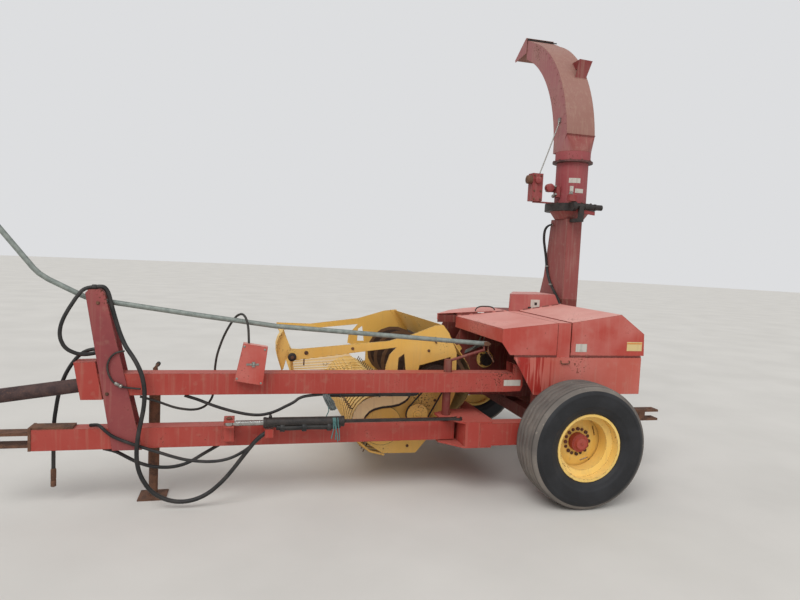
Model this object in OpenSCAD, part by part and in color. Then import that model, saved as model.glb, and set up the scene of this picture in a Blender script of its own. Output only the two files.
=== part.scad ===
// Pull-type forage harvester with a pickup header, in millimetres.
// Machine places: x runs rearward from the axle, y runs to the right from the
// left tyre's middle plane, z runs up from the ground.

/* [Wheels and axle] */
// Outer diameter of a tyre
tyre_od = 790; // [760:5:820]
// Width of a tyre
tyre_w = 282; // [260:2:290]
// Diameter of the rim's flange
rim_od = 430; // [410:2:450]
// Depth from the rim's outer flange to the wheel disc
disc_set = 160; // [120:5:175]
// Distance between the two tyres' middle planes
track = 1930; // [1900:10:2100]
// Side of the square axle tube
axle_side = 90; // [70:5:100]
// Radius of a stub axle
spindle_r = 24; // [18:1:30]
// Radius of a hub
hub_r = 58; // [50:1:64]

/* [Frame] */
// Width of a frame side box
rail_w = 100; // [80:5:110]
// Height of the frame boxes
rail_h = 144; // [120:2:150]
// Underside of the frame above the ground
rail_z = 345; // [340:1:350]
// Front face of the frame
frame_front = -720; // [-725:1:-700]
// Rear end of the side boxes
frame_rear = 400; // [360:5:440]
// Length of the wagon hitch behind the axle
wagon_reach = 905; // [800:5:1000]

/* [Tongue] */
// Place of the tongue's pivot along the machine
pivot_x = -790; // [-800:1:-785]
// Place of the tongue's pivot across the machine
pivot_y = 351; // [345:1:360]
// Radius of the tongue's pivot post
pivot_r = 27; // [22:1:32]
// Top of the pivot post
pivot_top = 868; // [850:1:890]
// Height of the tongue beam
beam_h = 120; // [100:2:130]
// Width of the tongue beam
beam_w = 102; // [80:2:110]
// Front end of the tongue beam
beam_front = -3220; // [-3400:10:-3150]
// Underside of the driveline tunnel
tunnel_z = 660; // [640:5:680]
// Height of the driveline tunnel
tunnel_h = 126; // [116:2:140]
// Width of the driveline tunnel
tunnel_w = 110; // [100:2:116]
// Top of the hose post
post_top = 1262; // [1200:5:1300]
// Length of the shaft guard in front of the tunnel
guard_len = 600; // [500:10:700]
// Downward slope of the shaft towards its front
shaft_slope = 8; // [4:1:12]
// Place of the parking jack along the machine
jack_x = -2600; // [-2610:5:-2540]
// Radius of the jack's outer tube
jack_r = 32; // [26:1:36]

/* [Body] */
// Outer plane of the left shields
shield_y = 220; // [210:1:230]
// Thickness of the sheet metal
sheet = 4; // [3:0.5:5]
// Height of the fold between the upper and the lower shields
crease_z = 920; // [905:1:930]
// Width of the two lids, from the shields' outer plane to their hinges
lid_w = 825; // [800:5:830]
// Roof height at the front of the front hood
hood_front_z = 1090; // [1070:2:1100]
// Roof height behind the front hood
hood_rear_z = 1135; // [1125:1:1145]
// Roof height at the rear of the rear cover
cover_top_z = 1200; // [1180:2:1220]

/* [Header] */
// Outer face of the header's left plate
header_y = 500; // [495:1:505]
// Width of the header
header_w = 1550; // [1500:10:1600]
// Place of the header's lift pin along the machine
lift_x = -505; // [-510:1:-500]
// Height of the header's lift pin
lift_z = 850; // [840:1:860]
// Place of the auger along the machine
auger_x = -805; // [-807:1:-800]
// Height of the auger
auger_z = 685; // [684:1:690]
// Radius of the auger's flights
auger_r = 220; // [200:1:222]
// Radius of the auger's drum
drum_r = 110; // [90:1:120]
// Place of the pickup reel along the machine
reel_x = -1185; // [-1190:1:-1180]
// Height of the pickup reel
reel_z = 400; // [396:1:404]
// Radius to the tines' tips
tine_r = 235; // [228:1:240]
// Outer radius of the stripper bands
band_r = 202; // [198:1:206]
// Distance between two stripper bands
band_pitch = 68; // [66:0.5:72]
// Width of a stripper band
band_w = 46; // [40:1:50]
// Place of the windguard's tube along the machine
guard_x = -1790; // [-1800:1:-1780]
// Height of the windguard's tube
guard_z = 855; // [850:1:860]

/* [Spout] */
// Place of the spout's axis along the machine
spout_x = 478; // [470:1:485]
// Place of the spout's axis across the machine
spout_y = 1180; // [1175:1:1185]
// Radius of the spout's round tube
tube_r = 127; // [122:1:130]
// Top of the blower's riser, where the turntable sits
turn_z = 1950; // [1900:5:2000]
// Radius of the turntable ring
turn_r = 200; // [190:1:205]
// Height of the round tube's top
tube_top = 2430; // [2380:5:2460]
// Inner radius of the spout's bend
bend_r = 1000; // [950:10:1050]
// Depth of the bend's duct at its foot
duct_d = 215; // [200:1:225]
// Depth of the bend's duct at its end
duct_tip = 155; // [145:1:170]
// Width of the bend's duct
duct_w = 250; // [240:2:260]
// Angle that the bend turns through
bend_angle = 63; // [55:1:70]
// Length of the straight duct behind the bend
duct_end = 90; // [60:5:120]
// Length of the deflector flap
flap_len = 260; // [220:5:300]
// Width of the blower's housing along the machine
blower_w = 130; // [120:1:140]
// Radius of the blower's housing
blower_r = 420; // [400:5:425]

/* [Hidden] */

$fn = 64;
eps = 0.01;
// Gap between a shaft and its bore
run_fit = 0.1;
// Gap between pieces that move past each other
seat = 0.3;

// Worked-out heights and places
axle_z = tyre_od / 2;
rail_top = rail_z + rail_h;
left_in = 155;
rail_left = [left_in, left_in + rail_w];
rail_right = [track - left_in - rail_w, track - left_in];
beam_y = [pivot_y - beam_w / 2, pivot_y + beam_w / 2];
plate_t = 12;
// Front face of the beam across the frame, behind the header's trough
cross_x = -600;
beam_z = rail_z + 5;
beam_top = beam_z + beam_h;
tunnel_y = [beam_y[0], beam_y[0] + tunnel_w];
tunnel_top = tunnel_z + tunnel_h;
tunnel_rear = -350;
lid_hinge_y = shield_y + lid_w;
shaft_x = -2975;
shaft_z = tunnel_z + 52;
yoke_len = 115;
yoke_r = 34;
bend_y = spout_y + tube_r - 20 + bend_r;
bend_z = tube_top + 20;
front_end = shaft_x - (guard_len + yoke_len) * cos(shaft_slope)
  - yoke_r * sin(shaft_slope);
hood_len = 90;
flap_hinge_y = bend_y - (bend_r + duct_tip) * cos(bend_angle)
  + (duct_end + hood_len) * sin(bend_angle);
flap_hinge_z = bend_z + (bend_r + duct_tip) * sin(bend_angle)
  + (duct_end + hood_len) * cos(bend_angle);
flap_tip_y = flap_hinge_y + flap_len * cos(28);
mid_x = (front_end + wagon_reach) / 2;
mid_y = (flap_tip_y - tyre_w / 2) / 2;

// Places everything so that the origin is under the middle of the whole
module placed() {
  translate([-mid_x, -mid_y, 0]) children();
}

// A block between two corners
module block(x, y, z) {
  translate([x[0], y[0], z[0]])
    cube([x[1] - x[0], y[1] - y[0], z[1] - z[0]]);
}

// A flat outline of x and z, thick along y
module side_plate(y, t) {
  translate([0, y + t, 0]) rotate([90, 0, 0]) linear_extrude(t) children();
}

// A flat outline of y and z, thick along x
module cross_plate(x, t) {
  translate([x, 0, 0]) rotate([90, 0, 90]) linear_extrude(t) children();
}

// A round bar along y
module bar_y(x, z, y, len, r) {
  translate([x, y, z]) rotate([-90, 0, 0]) cylinder(r = r, h = len);
}

// A round bar along x
module bar_x(y, z, x, len, r) {
  translate([x, y, z]) rotate([0, 90, 0]) cylinder(r = r, h = len);
}

// A round bar from one point to another
module rod(a, b, r) {
  d = b - a;
  len = norm(d);
  translate(a)
    rotate([0, acos(d[2] / len), atan2(d[1], d[0])]) cylinder(r = r, h = len);
}

// Direction of a route at one of its points
function heading(route, i) =
  let (a = route[max(i - 1, 0)], b = route[min(i + 1, len(route) - 1)])
    (b - a) / norm(b - a);

// Corners of a tube's ring around a point, square to the direction
function tube_ring(p, dir, r, sides) =
  let (u = cross([0, 1, 0], dir) / norm(cross([0, 1, 0], dir)),
    v = cross(dir, u))
    [for (k = [0 : sides - 1])
      p + r * (u * cos(k * 360 / sides) + v * sin(k * 360 / sides))];

// A tube with flat sides along a route
module tube_along(route, r, sides) {
  last = len(route) - 1;
  points = [for (i = [0 : last])
    each tube_ring(route[i], heading(route, i), r, sides)];
  walls = [for (i = [0 : last - 1]) for (k = [0 : sides - 1])
    let (a = i * sides + k, b = i * sides + (k + 1) % sides)
      [a, a + sides, b + sides, b]];
  polyhedron(points, concat(walls, [[for (k = [0 : sides - 1]) k]],
    [[for (k = [sides - 1 : -1 : 0]) last * sides + k]]));
}

// A flat part of a ring between two radii and two angles
module arc_band(r_in, r_out, a0, a1, steps = 24) {
  polygon(concat(
    [for (i = [0 : steps]) let (a = a0 + (a1 - a0) * i / steps)
      [r_in * cos(a), r_in * sin(a)]],
    [for (i = [steps : -1 : 0]) let (a = a0 + (a1 - a0) * i / steps)
      [r_out * cos(a), r_out * sin(a)]]));
}

// Puts a wheel piece on its side: -1 is the left, 1 is the right
module on_wheel(side) {
  translate([0, side < 0 ? 0 : track, axle_z])
    rotate([side < 0 ? 90 : -90, 0, 0]) children();
}

module tyre(side) {
  r = tyre_od / 2;
  w = tyre_w / 2;
  bead = rim_od / 2 - 12;
  wall_r = (r - bead) / 2;
  grooves = [-69, -23, 23, 69];
  placed() color([0.2, 0.2, 0.21]) on_wheel(side)
    rotate_extrude($fn = 128) difference() {
      union() {
        for (s = [-1, 1])
          translate([bead + wall_r, s * (w - wall_r)]) circle(wall_r);
        translate([bead, wall_r - w]) square([r - bead - 6, 2 * (w - wall_r)]);
        polygon([[bead, -w + 41], [r - 23, -w + 19], [r - 7, -w + 29],
          [r, -w + 71], [r, w - 71], [r - 7, w - 29], [r - 23, w - 19],
          [bead, w - 41]]);
      }
      for (g = grooves) translate([r - 9, g - 4.5]) square([20, 9]);
      translate([0, -w]) square([bead + 2 + seat, tyre_w]);
    }
}

// Number of wheel studs, and the radius of their ring
studs = 8;
stud_ring = 82;

module rim(side) {
  f = rim_od / 2;
  seat_r = f - 12;
  well_r = f - 48;
  w = tyre_w / 2 - 30;
  wall = 6;
  disc_z = w - disc_set;
  placed() color([0.83, 0.66, 0.3]) on_wheel(side) difference() {
    rotate_extrude($fn = 128) union() {
      polygon([[f, -w], [f, -w + wall], [seat_r + 2, -w + wall + 4],
        [seat_r, -w + 60], [well_r, -w + 72], [well_r, w - 72],
        [seat_r, w - 60], [seat_r + 2, w - wall - 4], [f, w - wall], [f, w],
        [seat_r - 5, w], [seat_r - wall, w - 56], [well_r - wall, w - 68],
        [well_r - wall, -w + 68], [seat_r - wall, -w + 56], [seat_r - 5, -w]]);
      polygon([[hub_r + seat, disc_z], [hub_r + seat, disc_z + 8],
        [110, disc_z + 8], [seat_r - 4, disc_z - 14],
        [seat_r - 4, disc_z - 22], [108, disc_z]]);
    }
    for (a = [15, 105, 195, 285]) rotate(a) translate([128, 0, disc_z - 30])
      cube([9, 60, 60], center = false);
    for (i = [0 : studs - 1]) rotate(i * 360 / studs)
      translate([stud_ring, 0, disc_z - 5]) cylinder(r = 8.2, h = 30);
  }
}

module hub(side) {
  w = tyre_w / 2 - 30;
  disc_z = w - disc_set;
  placed() color([0.6, 0.2, 0.17]) on_wheel(side) difference() {
    union() {
      translate([0, 0, disc_z - 46]) cylinder(r = hub_r, h = 98);
      translate([0, 0, disc_z + 52]) cylinder(r1 = 44, r2 = 36, h = 20);
      translate([0, 0, disc_z - 12]) cylinder(r = 98, h = 12 - seat);
      for (i = [0 : studs - 1]) rotate(i * 360 / studs)
        translate([stud_ring, 0, 0]) {
          translate([0, 0, disc_z - 2]) cylinder(r = 8, h = 12);
          translate([0, 0, disc_z + 8 + seat]) cylinder(r = 12, h = 10, $fn = 6);
        }
    }
    translate([0, 0, disc_z - 50]) cylinder(r = spindle_r + run_fit, h = 95);
  }
}

// The stub axle's end, measured inward from a tyre's middle plane
spindle_end = disc_set - tyre_w / 2 + 30 - 40;

module axle() {
  placed() color([0.55, 0.2, 0.17]) {
    block([-axle_side / 2, axle_side / 2], [rail_left[1], rail_right[0]],
      [axle_z - axle_side / 2, axle_z + axle_side / 2]);
    bar_y(0, axle_z, spindle_end, rail_left[0] - spindle_end, spindle_r);
    bar_y(0, axle_z, rail_right[1], track - spindle_end - rail_right[1],
      spindle_r);
  }
}

// The two side boxes of the frame
module frame_rails() {
  placed() color([0.69, 0.28, 0.25]) {
    block([frame_front + 100, frame_rear], rail_left, [rail_z, rail_top]);
    block([cross_x, frame_rear], rail_right, [rail_z, rail_top]);
  }
}

// Front beam with the two plates that carry the tongue's pin
module cross_front() {
  placed() color([0.69, 0.28, 0.25]) {
    block([frame_front, frame_front + 100], [rail_left[0], pivot_y + 140],
      [rail_z, rail_top]);
    block([cross_x, cross_x + 100], [rail_left[1], rail_right[0]],
      [rail_z, rail_top]);
    for (z = [rail_z - plate_t, rail_top]) difference() {
      translate([0, 0, z]) linear_extrude(plate_t)
        polygon([[cross_x + 60, rail_left[0]], [frame_front, rail_left[0]],
          [pivot_x - 60, pivot_y - 55], [pivot_x - 60, pivot_y + 55],
          [frame_front, pivot_y + 140], [cross_x + 60, pivot_y + 140]]);
      translate([pivot_x, pivot_y, z - 5])
        cylinder(r = pivot_r + run_fit, h = plate_t + 10);
    }
    // Pin of the swing cylinder
    translate([swing_x[0], swing_y, rail_top + plate_t])
      cylinder(r = 12, h = 24);
  }
}

module cross_rear() {
  placed() color([0.62, 0.24, 0.21])
    block([230, 330], [rail_left[1], rail_right[0]], [rail_z, rail_top]);
}

wagon_y = 490;
wagon_z = 440;

module wagon_hitch() {
  placed() color([0.45, 0.3, 0.22]) difference() {
    union() {
      block([330, wagon_reach - 110], [wagon_y - 40, wagon_y + 40],
        [wagon_z - 40, wagon_z + 40]);
      for (z = [wagon_z - 40, wagon_z + 24])
        block([wagon_reach - 110, wagon_reach], [wagon_y - 40, wagon_y + 40],
          [z, z + 16]);
    }
    translate([wagon_reach - 45, wagon_y, wagon_z - 60])
      cylinder(r = 13, h = 120);
  }
}

// Uprights that stand on the left frame box and carry the shields
module shield_posts() {
  placed() color([0.5, 0.2, 0.18]) for (x = [-230, -52, 350])
    block([x, x + 40], [shield_y + sheet, shield_y + 44], [rail_top, lip_z]);
}

// Underside of the folded lip that the lids close over
lip_z = crease_z - 34;

// Rear edge and lower edge of the lower shield
shield_rear = 560;
shield_z = 655;

module lower_shield() {
  placed() color([0.69, 0.28, 0.25]) {
    side_plate(shield_y, sheet)
      polygon([[-388, crease_z - 14], [-235, shield_z], [shield_rear, shield_z],
        [shield_rear, crease_z - 14]]);
    block([shield_rear - sheet, shield_rear], [shield_y + sheet, shield_y + 60],
      [shield_z, crease_z - 14]);
    for (x = [[-380, -85], [21, 550]]) {
      block(x, [shield_y + sheet + seat, shield_y + 12], [lip_z, crease_z + 10]);
      block(x, [shield_y + sheet - 1, shield_y + sheet + 1],
        [lip_z, crease_z - 14]);
    }
  }
}

// Radius of the lids' hinge barrels
hinge_r = 5;
hood_slope = (hood_rear_z - hood_front_z) / 386;
// Place of the pieces that the lids hinge on
hinge_side = lid_hinge_y + hinge_r + seat;
// The outer side outline of the front hood
hood_side = [[-470, hood_front_z], [-475, 1000], [-415, crease_z],
  [-84, crease_z], [-84, hood_rear_z]];

module front_hood() {
  far = lid_hinge_y;
  sweep = 32;
  placed() color([0.72, 0.3, 0.27]) {
    side_plate(shield_y, sheet) polygon(hood_side);
    // Roof, with its front edge swept forward to the far side
    intersection() {
      side_plate(shield_y, lid_w)
        polygon([[-700, hood_front_z - 27], [-470, hood_front_z],
          [-84, hood_rear_z], [-84, hood_rear_z - sheet],
          [-470, hood_front_z - sheet], [-700, hood_front_z - 27 - sheet]]);
      linear_extrude(2000) polygon([[-470, shield_y], [-84, shield_y],
        [-84, far], [-470 - sweep, far]]);
    }
    // Front facet
    translate([0, 0, 1000]) linear_extrude(hood_front_z - 1000 - sheet)
      polygon([[-475, shield_y + eps], [-475 + 6, shield_y + eps],
        [-475 + 6 - sweep, far], [-475 - sweep, far]]);
    rod([-495, far, hood_front_z - 25 * hood_slope],
      [-90, far, hood_rear_z - 6 * hood_slope], hinge_r);
  }
}

module hood_strap() {
  placed() color([0.72, 0.3, 0.27]) {
    block([-79, 15], [shield_y + sheet + seat, shield_y + 12],
      [lip_z, hood_rear_z]);
    block([-79, 15], [shield_y + 6, lid_hinge_y],
      [hood_rear_z - sheet, hood_rear_z]);
  }
}

// The outer side outline of the rear cover
cover_side = [[20, crease_z], [20, hood_rear_z + 5], [385, cover_top_z],
  [570, 1070], [578, crease_z]];

module rear_cover() {
  placed() color([0.74, 0.32, 0.29]) difference() {
    side_plate(shield_y, lid_w) polygon(cover_side);
    side_plate(shield_y + sheet, lid_w)
      polygon([[20 + sheet, crease_z - 10], [20 + sheet, hood_rear_z + 1],
        [385, cover_top_z - sheet], [570 - sheet, 1070 - 2],
        [578 - sheet, crease_z - 10]]);
    block([10, 20 + sheet + 1], [shield_y + sheet, lid_hinge_y + 10],
      [crease_z - 10, hood_rear_z + 1]);
  }
  placed() color([0.74, 0.32, 0.29]) rod([24, lid_hinge_y, hood_rear_z + 4],
    [384, lid_hinge_y, cover_top_z - 1], hinge_r);
}

centre_y = [890, 1400];
// Plan of the centre hood, whose front edge runs back to the far side
centre_plan = [[-660, hinge_side], [-495, 1252], [-339, 1356],
  [-200, centre_y[1]], [-80, centre_y[1]], [-80, hinge_side]];

// The centre hood's side outline between two depths below its top
module centre_side(upper, lower) {
  z = hood_rear_z;
  side_plate(hinge_side, centre_y[1] - hinge_side)
    polygon([[-690, 1100 - upper], [feed_rear, z - upper], [-80, z - upper],
      [-80, z - lower], [feed_rear, z - lower], [-690, 1100 - lower]]);
}

module centre_hood() {
  placed() color([0.74, 0.32, 0.29]) {
    intersection() {
      centre_side(0, sheet);
      linear_extrude(2000) polygon(centre_plan);
    }
    // Skirt along the front edges
    intersection() {
      centre_side(1.5, 46);
      linear_extrude(2000) polygon(concat(
        [for (i = [0 : 3]) centre_plan[i] + [3, 0.5 - i]],
        [for (i = [3 : -1 : 0]) centre_plan[i] + [8, -3 - i]]));
    }
  }
}

feed_y = [950, 1396];
feed_front = -530;
feed_rear = -130;

module feed_housing() {
  placed() color([0.35, 0.2, 0.18]) difference() {
    union() {
      for (y = [feed_y[0], feed_y[1] - 8]) side_plate(y, 8)
        polygon([[feed_front, rail_top], [feed_rear, rail_top],
          [feed_rear, 1050], [feed_front + 60, 1050], [feed_front, 930]]);
      block([feed_front, feed_rear], [feed_y[0] + 8, feed_y[1] - 8],
        [rail_top, rail_top + 8]);
    }
    for (z = roll_z)
      bar_y(roll_x, z, feed_y[0] - 5, feed_y[1] - feed_y[0] + 10, 20 + run_fit);
    bar_y(lift_x, lift_z, feed_y[0] - 5, feed_y[1] - feed_y[0] + 10, 15 + run_fit);
  }
}

roll_x = -290;
roll_z = [768, 585];

// A feed roll with bars across its face, its place and its radius
module feed_roll(z, r, bars) {
  bar_y(roll_x, z, feed_y[0] + 14, feed_y[1] - feed_y[0] - 28, r - 14);
  for (i = [0 : bars - 1]) translate([roll_x, 0, z])
    rotate([0, i * 360 / bars, 0])
      block([r - 20, r], [feed_y[0] + 17, feed_y[1] - 17], [-5, 5]);
  bar_y(roll_x, z, feed_y[0] - 60, feed_y[1] - feed_y[0] + 80, 20);
}

module feed_roll_upper() {
  placed() color([0.3, 0.3, 0.3]) {
    feed_roll(roll_z[0], 95, 10);
    bar_y(roll_x, roll_z[0], feed_y[0] - 50, 30, 46);
  }
}

module feed_roll_lower() {
  placed() color([0.3, 0.3, 0.3]) feed_roll(roll_z[1], 76, 8);
}

blower_x = 400;

module cutter_housing() {
  z = hood_rear_z - sheet;
  split = hinge_side;
  // start, width, front corner of the top
  placed() color([0.6, 0.24, 0.21])
    for (p = [[centre_y[0], split - centre_y[0], [feed_rear, z - 60]],
      [split, centre_y[1] - split, [feed_rear, z]]])
      side_plate(p[0], p[1]) polygon([[feed_rear, rail_top],
        [blower_x, rail_top], [blower_x, z - 60], [380, z], [-79, z], p[2]]);
}

module gearbox() {
  placed() color([0.4, 0.2, 0.18]) {
    block([-40, 160], [270, 460], [560, 820]);
    block([20, 100], [205, 300], [rail_top, 560]);
    bar_y(60, 700, 460, centre_y[0] - 460, 45);
    bar_x(pivot_y, tunnel_z + 60, -150, 110, 25);
  }
}

blower_y = 980;
blower_z = 660;
outlet_y = 1060;

module blower() {
  placed() color([0.62, 0.25, 0.22]) {
    bar_x(blower_y, blower_z, blower_x, blower_w, blower_r);
    block([blower_x, blower_x + blower_w],
      [outlet_y, blower_y + blower_r], [blower_z, 1240]);
    bar_x(blower_y, blower_z, blower_x + blower_w, 60, 60);
  }
}

module riser() {
  placed() color([0.6, 0.33, 0.3]) {
    cross_plate(blower_x, blower_w) polygon([[outlet_y, 1240],
      [1470, 1240], [1440, 1320], [1405, 1420], [1330, turn_z - 60],
      [outlet_y, turn_z - 60]]);
    translate([spout_x, spout_y, turn_z - 60])
      cylinder(r1 = tube_r - 12, r2 = tube_r + 30, h = 60);
  }
}

module top_box() {
  z = hood_rear_z - sheet;
  depth = 330;
  placed() color([0.72, 0.3, 0.27]) intersection() {
    side_plate(hinge_side, depth)
      polygon([[-70, z], [-48, 1268], [325, 1276], [378, 1176], [378, z]]);
    // Its left face runs back to the far side
    linear_extrude(2000) polygon([[-70, hinge_side - 1], [400, hinge_side - 1],
      [400, hinge_side + depth + 1], [110, hinge_side + depth + 1]]);
  }
}

module turntable() {
  placed() color([0.13, 0.12, 0.12]) translate([spout_x, spout_y, turn_z + seat])
    difference() {
      cylinder(r = turn_r, h = 60);
      translate([0, 0, -1]) cylinder(r = tube_r - 6, h = 70);
    }
}

module spout_drive() {
  y = spout_y - turn_r - 30;
  placed() color([0.15, 0.13, 0.13]) {
    bar_x(y, turn_z + 30, spout_x - 80, 230, 22);
    bar_x(y, turn_z + 30, spout_x - 110, 30, 38);
    block([spout_x - 60, spout_x - 20], [y - 10, outlet_y],
      [turn_z - 90, turn_z - 62]);
    block([spout_x - 60, spout_x - 20], [y - 34, y - 10],
      [turn_z - 90, turn_z + 30]);
  }
}

// Radius of the round tube's collar, and height of the flange below it
collar_r = 140;
ring_z = tube_top - 87;

module spout_tube() {
  z0 = turn_z + 60 + seat;
  placed() color([0.66, 0.27, 0.25]) translate([spout_x, spout_y, z0])
    difference() {
      union() {
        cylinder(r = tube_r, h = tube_top - z0);
        translate([0, 0, ring_z - z0]) cylinder(r = collar_r + 20, h = 14);
        translate([0, 0, ring_z + 7 - z0]) cylinder(r = collar_r, h = tube_top - ring_z - 7);
      }
      translate([0, 0, -1]) cylinder(r = tube_r - 4, h = 700);
    }
}

// Angle at which the bend's plain duct starts, above its round foot
bend_start = 5;
// The outer wall's arc, whose centre lies nearer so that the duct tapers
outer_c = (pow(bend_r + duct_d, 2) - pow(bend_r + duct_tip, 2))
  / (2 * (bend_r + duct_d - (bend_r + duct_tip) * cos(bend_angle)));
outer_r = bend_r + duct_d - outer_c;
foot_top = (bend_r + duct_d) * sin(bend_start);
outer_start = asin(foot_top / outer_r);
outer_end = atan2((bend_r + duct_tip) * sin(bend_angle),
  (bend_r + duct_tip) * cos(bend_angle) - outer_c);

// The foot of the bend, from the round collar to the square duct
module bend_foot(inset) {
  w = duct_w - 2 * inset;
  over = inset > 0 ? 1 : 0;
  y0 = bend_y - outer_c - (outer_r - inset) * cos(outer_start);
  y1 = bend_y - bend_r - inset;
  hull() {
    translate([spout_x, spout_y, tube_top - over])
      cylinder(r = collar_r - inset, h = 1, $fn = 48);
    translate([spout_x - w / 2, y1 - 10, tube_top - over]) cube([w, 10, 1]);
    translate([spout_x - w / 2, y0, bend_z + foot_top - 1 + over])
      cube([w, y1 - y0, 1]);
  }
}

// A point of the bend's inner or outer wall, from the bend's centre
function wall_point(c, r, a) = [-c - r * cos(a), r * sin(a)];

// The bend's duct as one closed form: a tapered bend and a straight end
module duct(inset) {
  steps = 24;
  w = duct_w - 2 * inset;
  ri = bend_r + inset;
  ro = outer_r - inset;
  along = [sin(bend_angle), cos(bend_angle)];
  over = inset > 0 ? 20 : 0;
  translate([0, bend_y, bend_z]) cross_plate(spout_x - w / 2, w) polygon(concat(
    [for (i = [0 : steps])
      wall_point(0, ri, bend_start + (bend_angle - bend_start) * i / steps)],
    [wall_point(0, ri, bend_angle) + (duct_end + over) * along,
      wall_point(outer_c, ro, outer_end) + (duct_end + hood_len + over) * along],
    [for (i = [steps : -1 : 0])
      wall_point(outer_c, ro, outer_start + (outer_end - outer_start) * i / steps)]));
}

// Angle at which the corner bracket stands on the outer wall
bracket_angle = 38.4;

// Corner bracket on the bend's outer side: a plate and its two gussets
module bend_bracket() {
  seat_at = wall_point(outer_c, outer_r, bracket_angle);
  x = spout_x + duct_w / 2;
  translate([0, bend_y + seat_at[0], bend_z + seat_at[1]]) {
    side_plate(-63, 6) polygon([[x - 80, 71], [x + 37, 66], [x - 31, -127],
      [x - 121, -117]]);
    for (place = [x - 80, x - 28]) cross_plate(place, 6)
      polygon([[-60, 70], [-60, 0], [8, 0], [68, 70]]);
  }
}

module spout_bend() {
  placed() color([0.64, 0.36, 0.32]) {
    difference() {
      union() {
        duct(0);
        bend_foot(0);
        bend_bracket();
      }
      duct(sheet);
      bend_foot(sheet);
    }
    bar_x(flap_hinge_y, flap_hinge_z, spout_x - duct_w / 2 - 12, duct_w + 24, 5);
  }
}

module flap_actuator() {
  placed() color([0.6, 0.3, 0.27]) {
    block([115, 205], [1140, 1220], [turn_z + 70, turn_z + 290]);
    block([150, spout_x - tube_r - seat], [1160, 1200],
      [turn_z + 60 + seat, turn_z + 70]);
  }
}

module spout_flap() {
  hy = flap_hinge_y;
  hz = flap_hinge_z;
  w = duct_w + 16;
  placed() color([0.62, 0.33, 0.3]) {
    for (x = [spout_x - w / 2, spout_x + w / 2 - 3]) difference() {
      cross_plate(x, 3) polygon([[hy - 14, hz + 11], [hy + 10, hz + 15],
        [flap_tip_y, hz - flap_len * sin(28)],
        [flap_tip_y - 8, hz - flap_len * sin(28) - 20],
        [hy - 14, hz - 125]]);
      bar_x(hy, hz, x - 5, 20, 5 + run_fit);
    }
    cross_plate(spout_x - w / 2 + 3, w - 6)
      polygon([[hy - 10, hz + 11], [hy + 10, hz + 15],
        [flap_tip_y, hz - flap_len * sin(28)],
        [flap_tip_y - 2, hz - flap_len * sin(28) - 4],
        [hy + 8, hz + 10], [hy - 10, hz + 7]]);
  }
}

module tongue_beam() {
  placed() color([0.69, 0.28, 0.25]) difference() {
    block([beam_front, pivot_x + 48], beam_y, [beam_z, beam_top]);
    translate([pivot_x, pivot_y, beam_z - 5])
      cylinder(r = pivot_r + run_fit, h = beam_h + 10);
  }
  // Ears and pin for the swing cylinder's rod
  x = swing_x[1];
  placed() color([0.5, 0.3, 0.22]) {
    block([x - 30, x + 30], [swing_y + 32, beam_y[0] + 1],
      [beam_z + 40, swing_z + 22]);
    for (z = [swing_z - 22, swing_z + 10])
      block([x - 30, x + 30], [swing_y - 28, swing_y + 32], [z, z + 12]);
    translate([x, swing_y, swing_z - 22]) cylinder(r = 12, h = 50);
    // Clamp that holds the hoses' ends
    block([-1955, -1905], [swing_y - 14, beam_y[0] + 1], [420, beam_top + 2]);
  }
}

// The pin stands on the frame and carries the rear of the tunnel
module tongue_pivot() {
  z0 = rail_z - plate_t - 10;
  placed() color([0.6, 0.22, 0.2]) {
    translate([pivot_x, pivot_y, z0]) cylinder(r = pivot_r, h = pivot_top - z0);
    rod([pivot_x, pivot_y, pivot_top - 12],
      [control_end[0] - 15, pivot_y, control_end[1] - 40], 9);
    rod([control_end[0] - 20, pivot_y, control_end[1] - 50],
      [control_end[0] - 20, pivot_y, control_end[1] - 15 - seat], 7);
  }
}

module tunnel() {
  placed() color([0.69, 0.28, 0.25]) {
    difference() {
      block([-2900, tunnel_rear], tunnel_y, [tunnel_z, tunnel_top]);
      translate([pivot_x, pivot_y, tunnel_z - 5])
        cylinder(r = pivot_r + run_fit, h = tunnel_h + 10);
    }
    side_plate(tunnel_y[0] - 6, tunnel_w + 12)
      polygon([[-3007, 850], [-2896, 854], [-2855, 638], [-2970, 638]]);
  }
}

// A leaning post on both sides of the beams, joined at its top
module hose_post() {
  placed() color([0.6, 0.22, 0.2]) {
    for (y = [tunnel_y[0] - 6, tunnel_y[1]]) side_plate(y, 6)
      polygon([[-2950, post_top - 20], [-2932, post_top], [-2868, post_top],
        [-2850, post_top - 20], [-2642, beam_z - 8], [-2802, beam_z - 8]]);
    side_plate(tunnel_y[0] - 1, tunnel_w + 2)
      polygon([[-2946, post_top - 30], [-2932, post_top], [-2868, post_top],
        [-2856, post_top - 30]]);
    bar_y(-2900, control_post_z - 18 - 8, tunnel_y[0] - 3, tunnel_w + 6, 8);
    bar_y(-2872, 908, tunnel_y[0] - 3, tunnel_w + 6, 14);
  }
}

hitch_x = beam_front - 280;
hitch_z = beam_z + beam_h / 2;

module hitch_clevis() {
  placed() color([0.45, 0.3, 0.22]) difference() {
    union() {
      block([beam_front - 14, beam_front], [beam_y[0] - 4, beam_y[1] + 4],
        [beam_z, beam_top + 12]);
      for (z = [hitch_z - 42, hitch_z + 26])
        block([hitch_x - 50, beam_front - 14], [pivot_y - 45, pivot_y + 45],
          [z, z + 16]);
      block([beam_front, beam_front + 210], [pivot_y - 45, pivot_y + 45],
        [beam_top, beam_top + 12]);
    }
    translate([hitch_x, pivot_y, hitch_z - 60]) cylinder(r = 14, h = 120);
  }
}

jack_y = tunnel_y[1] + 22 + jack_r;

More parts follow.
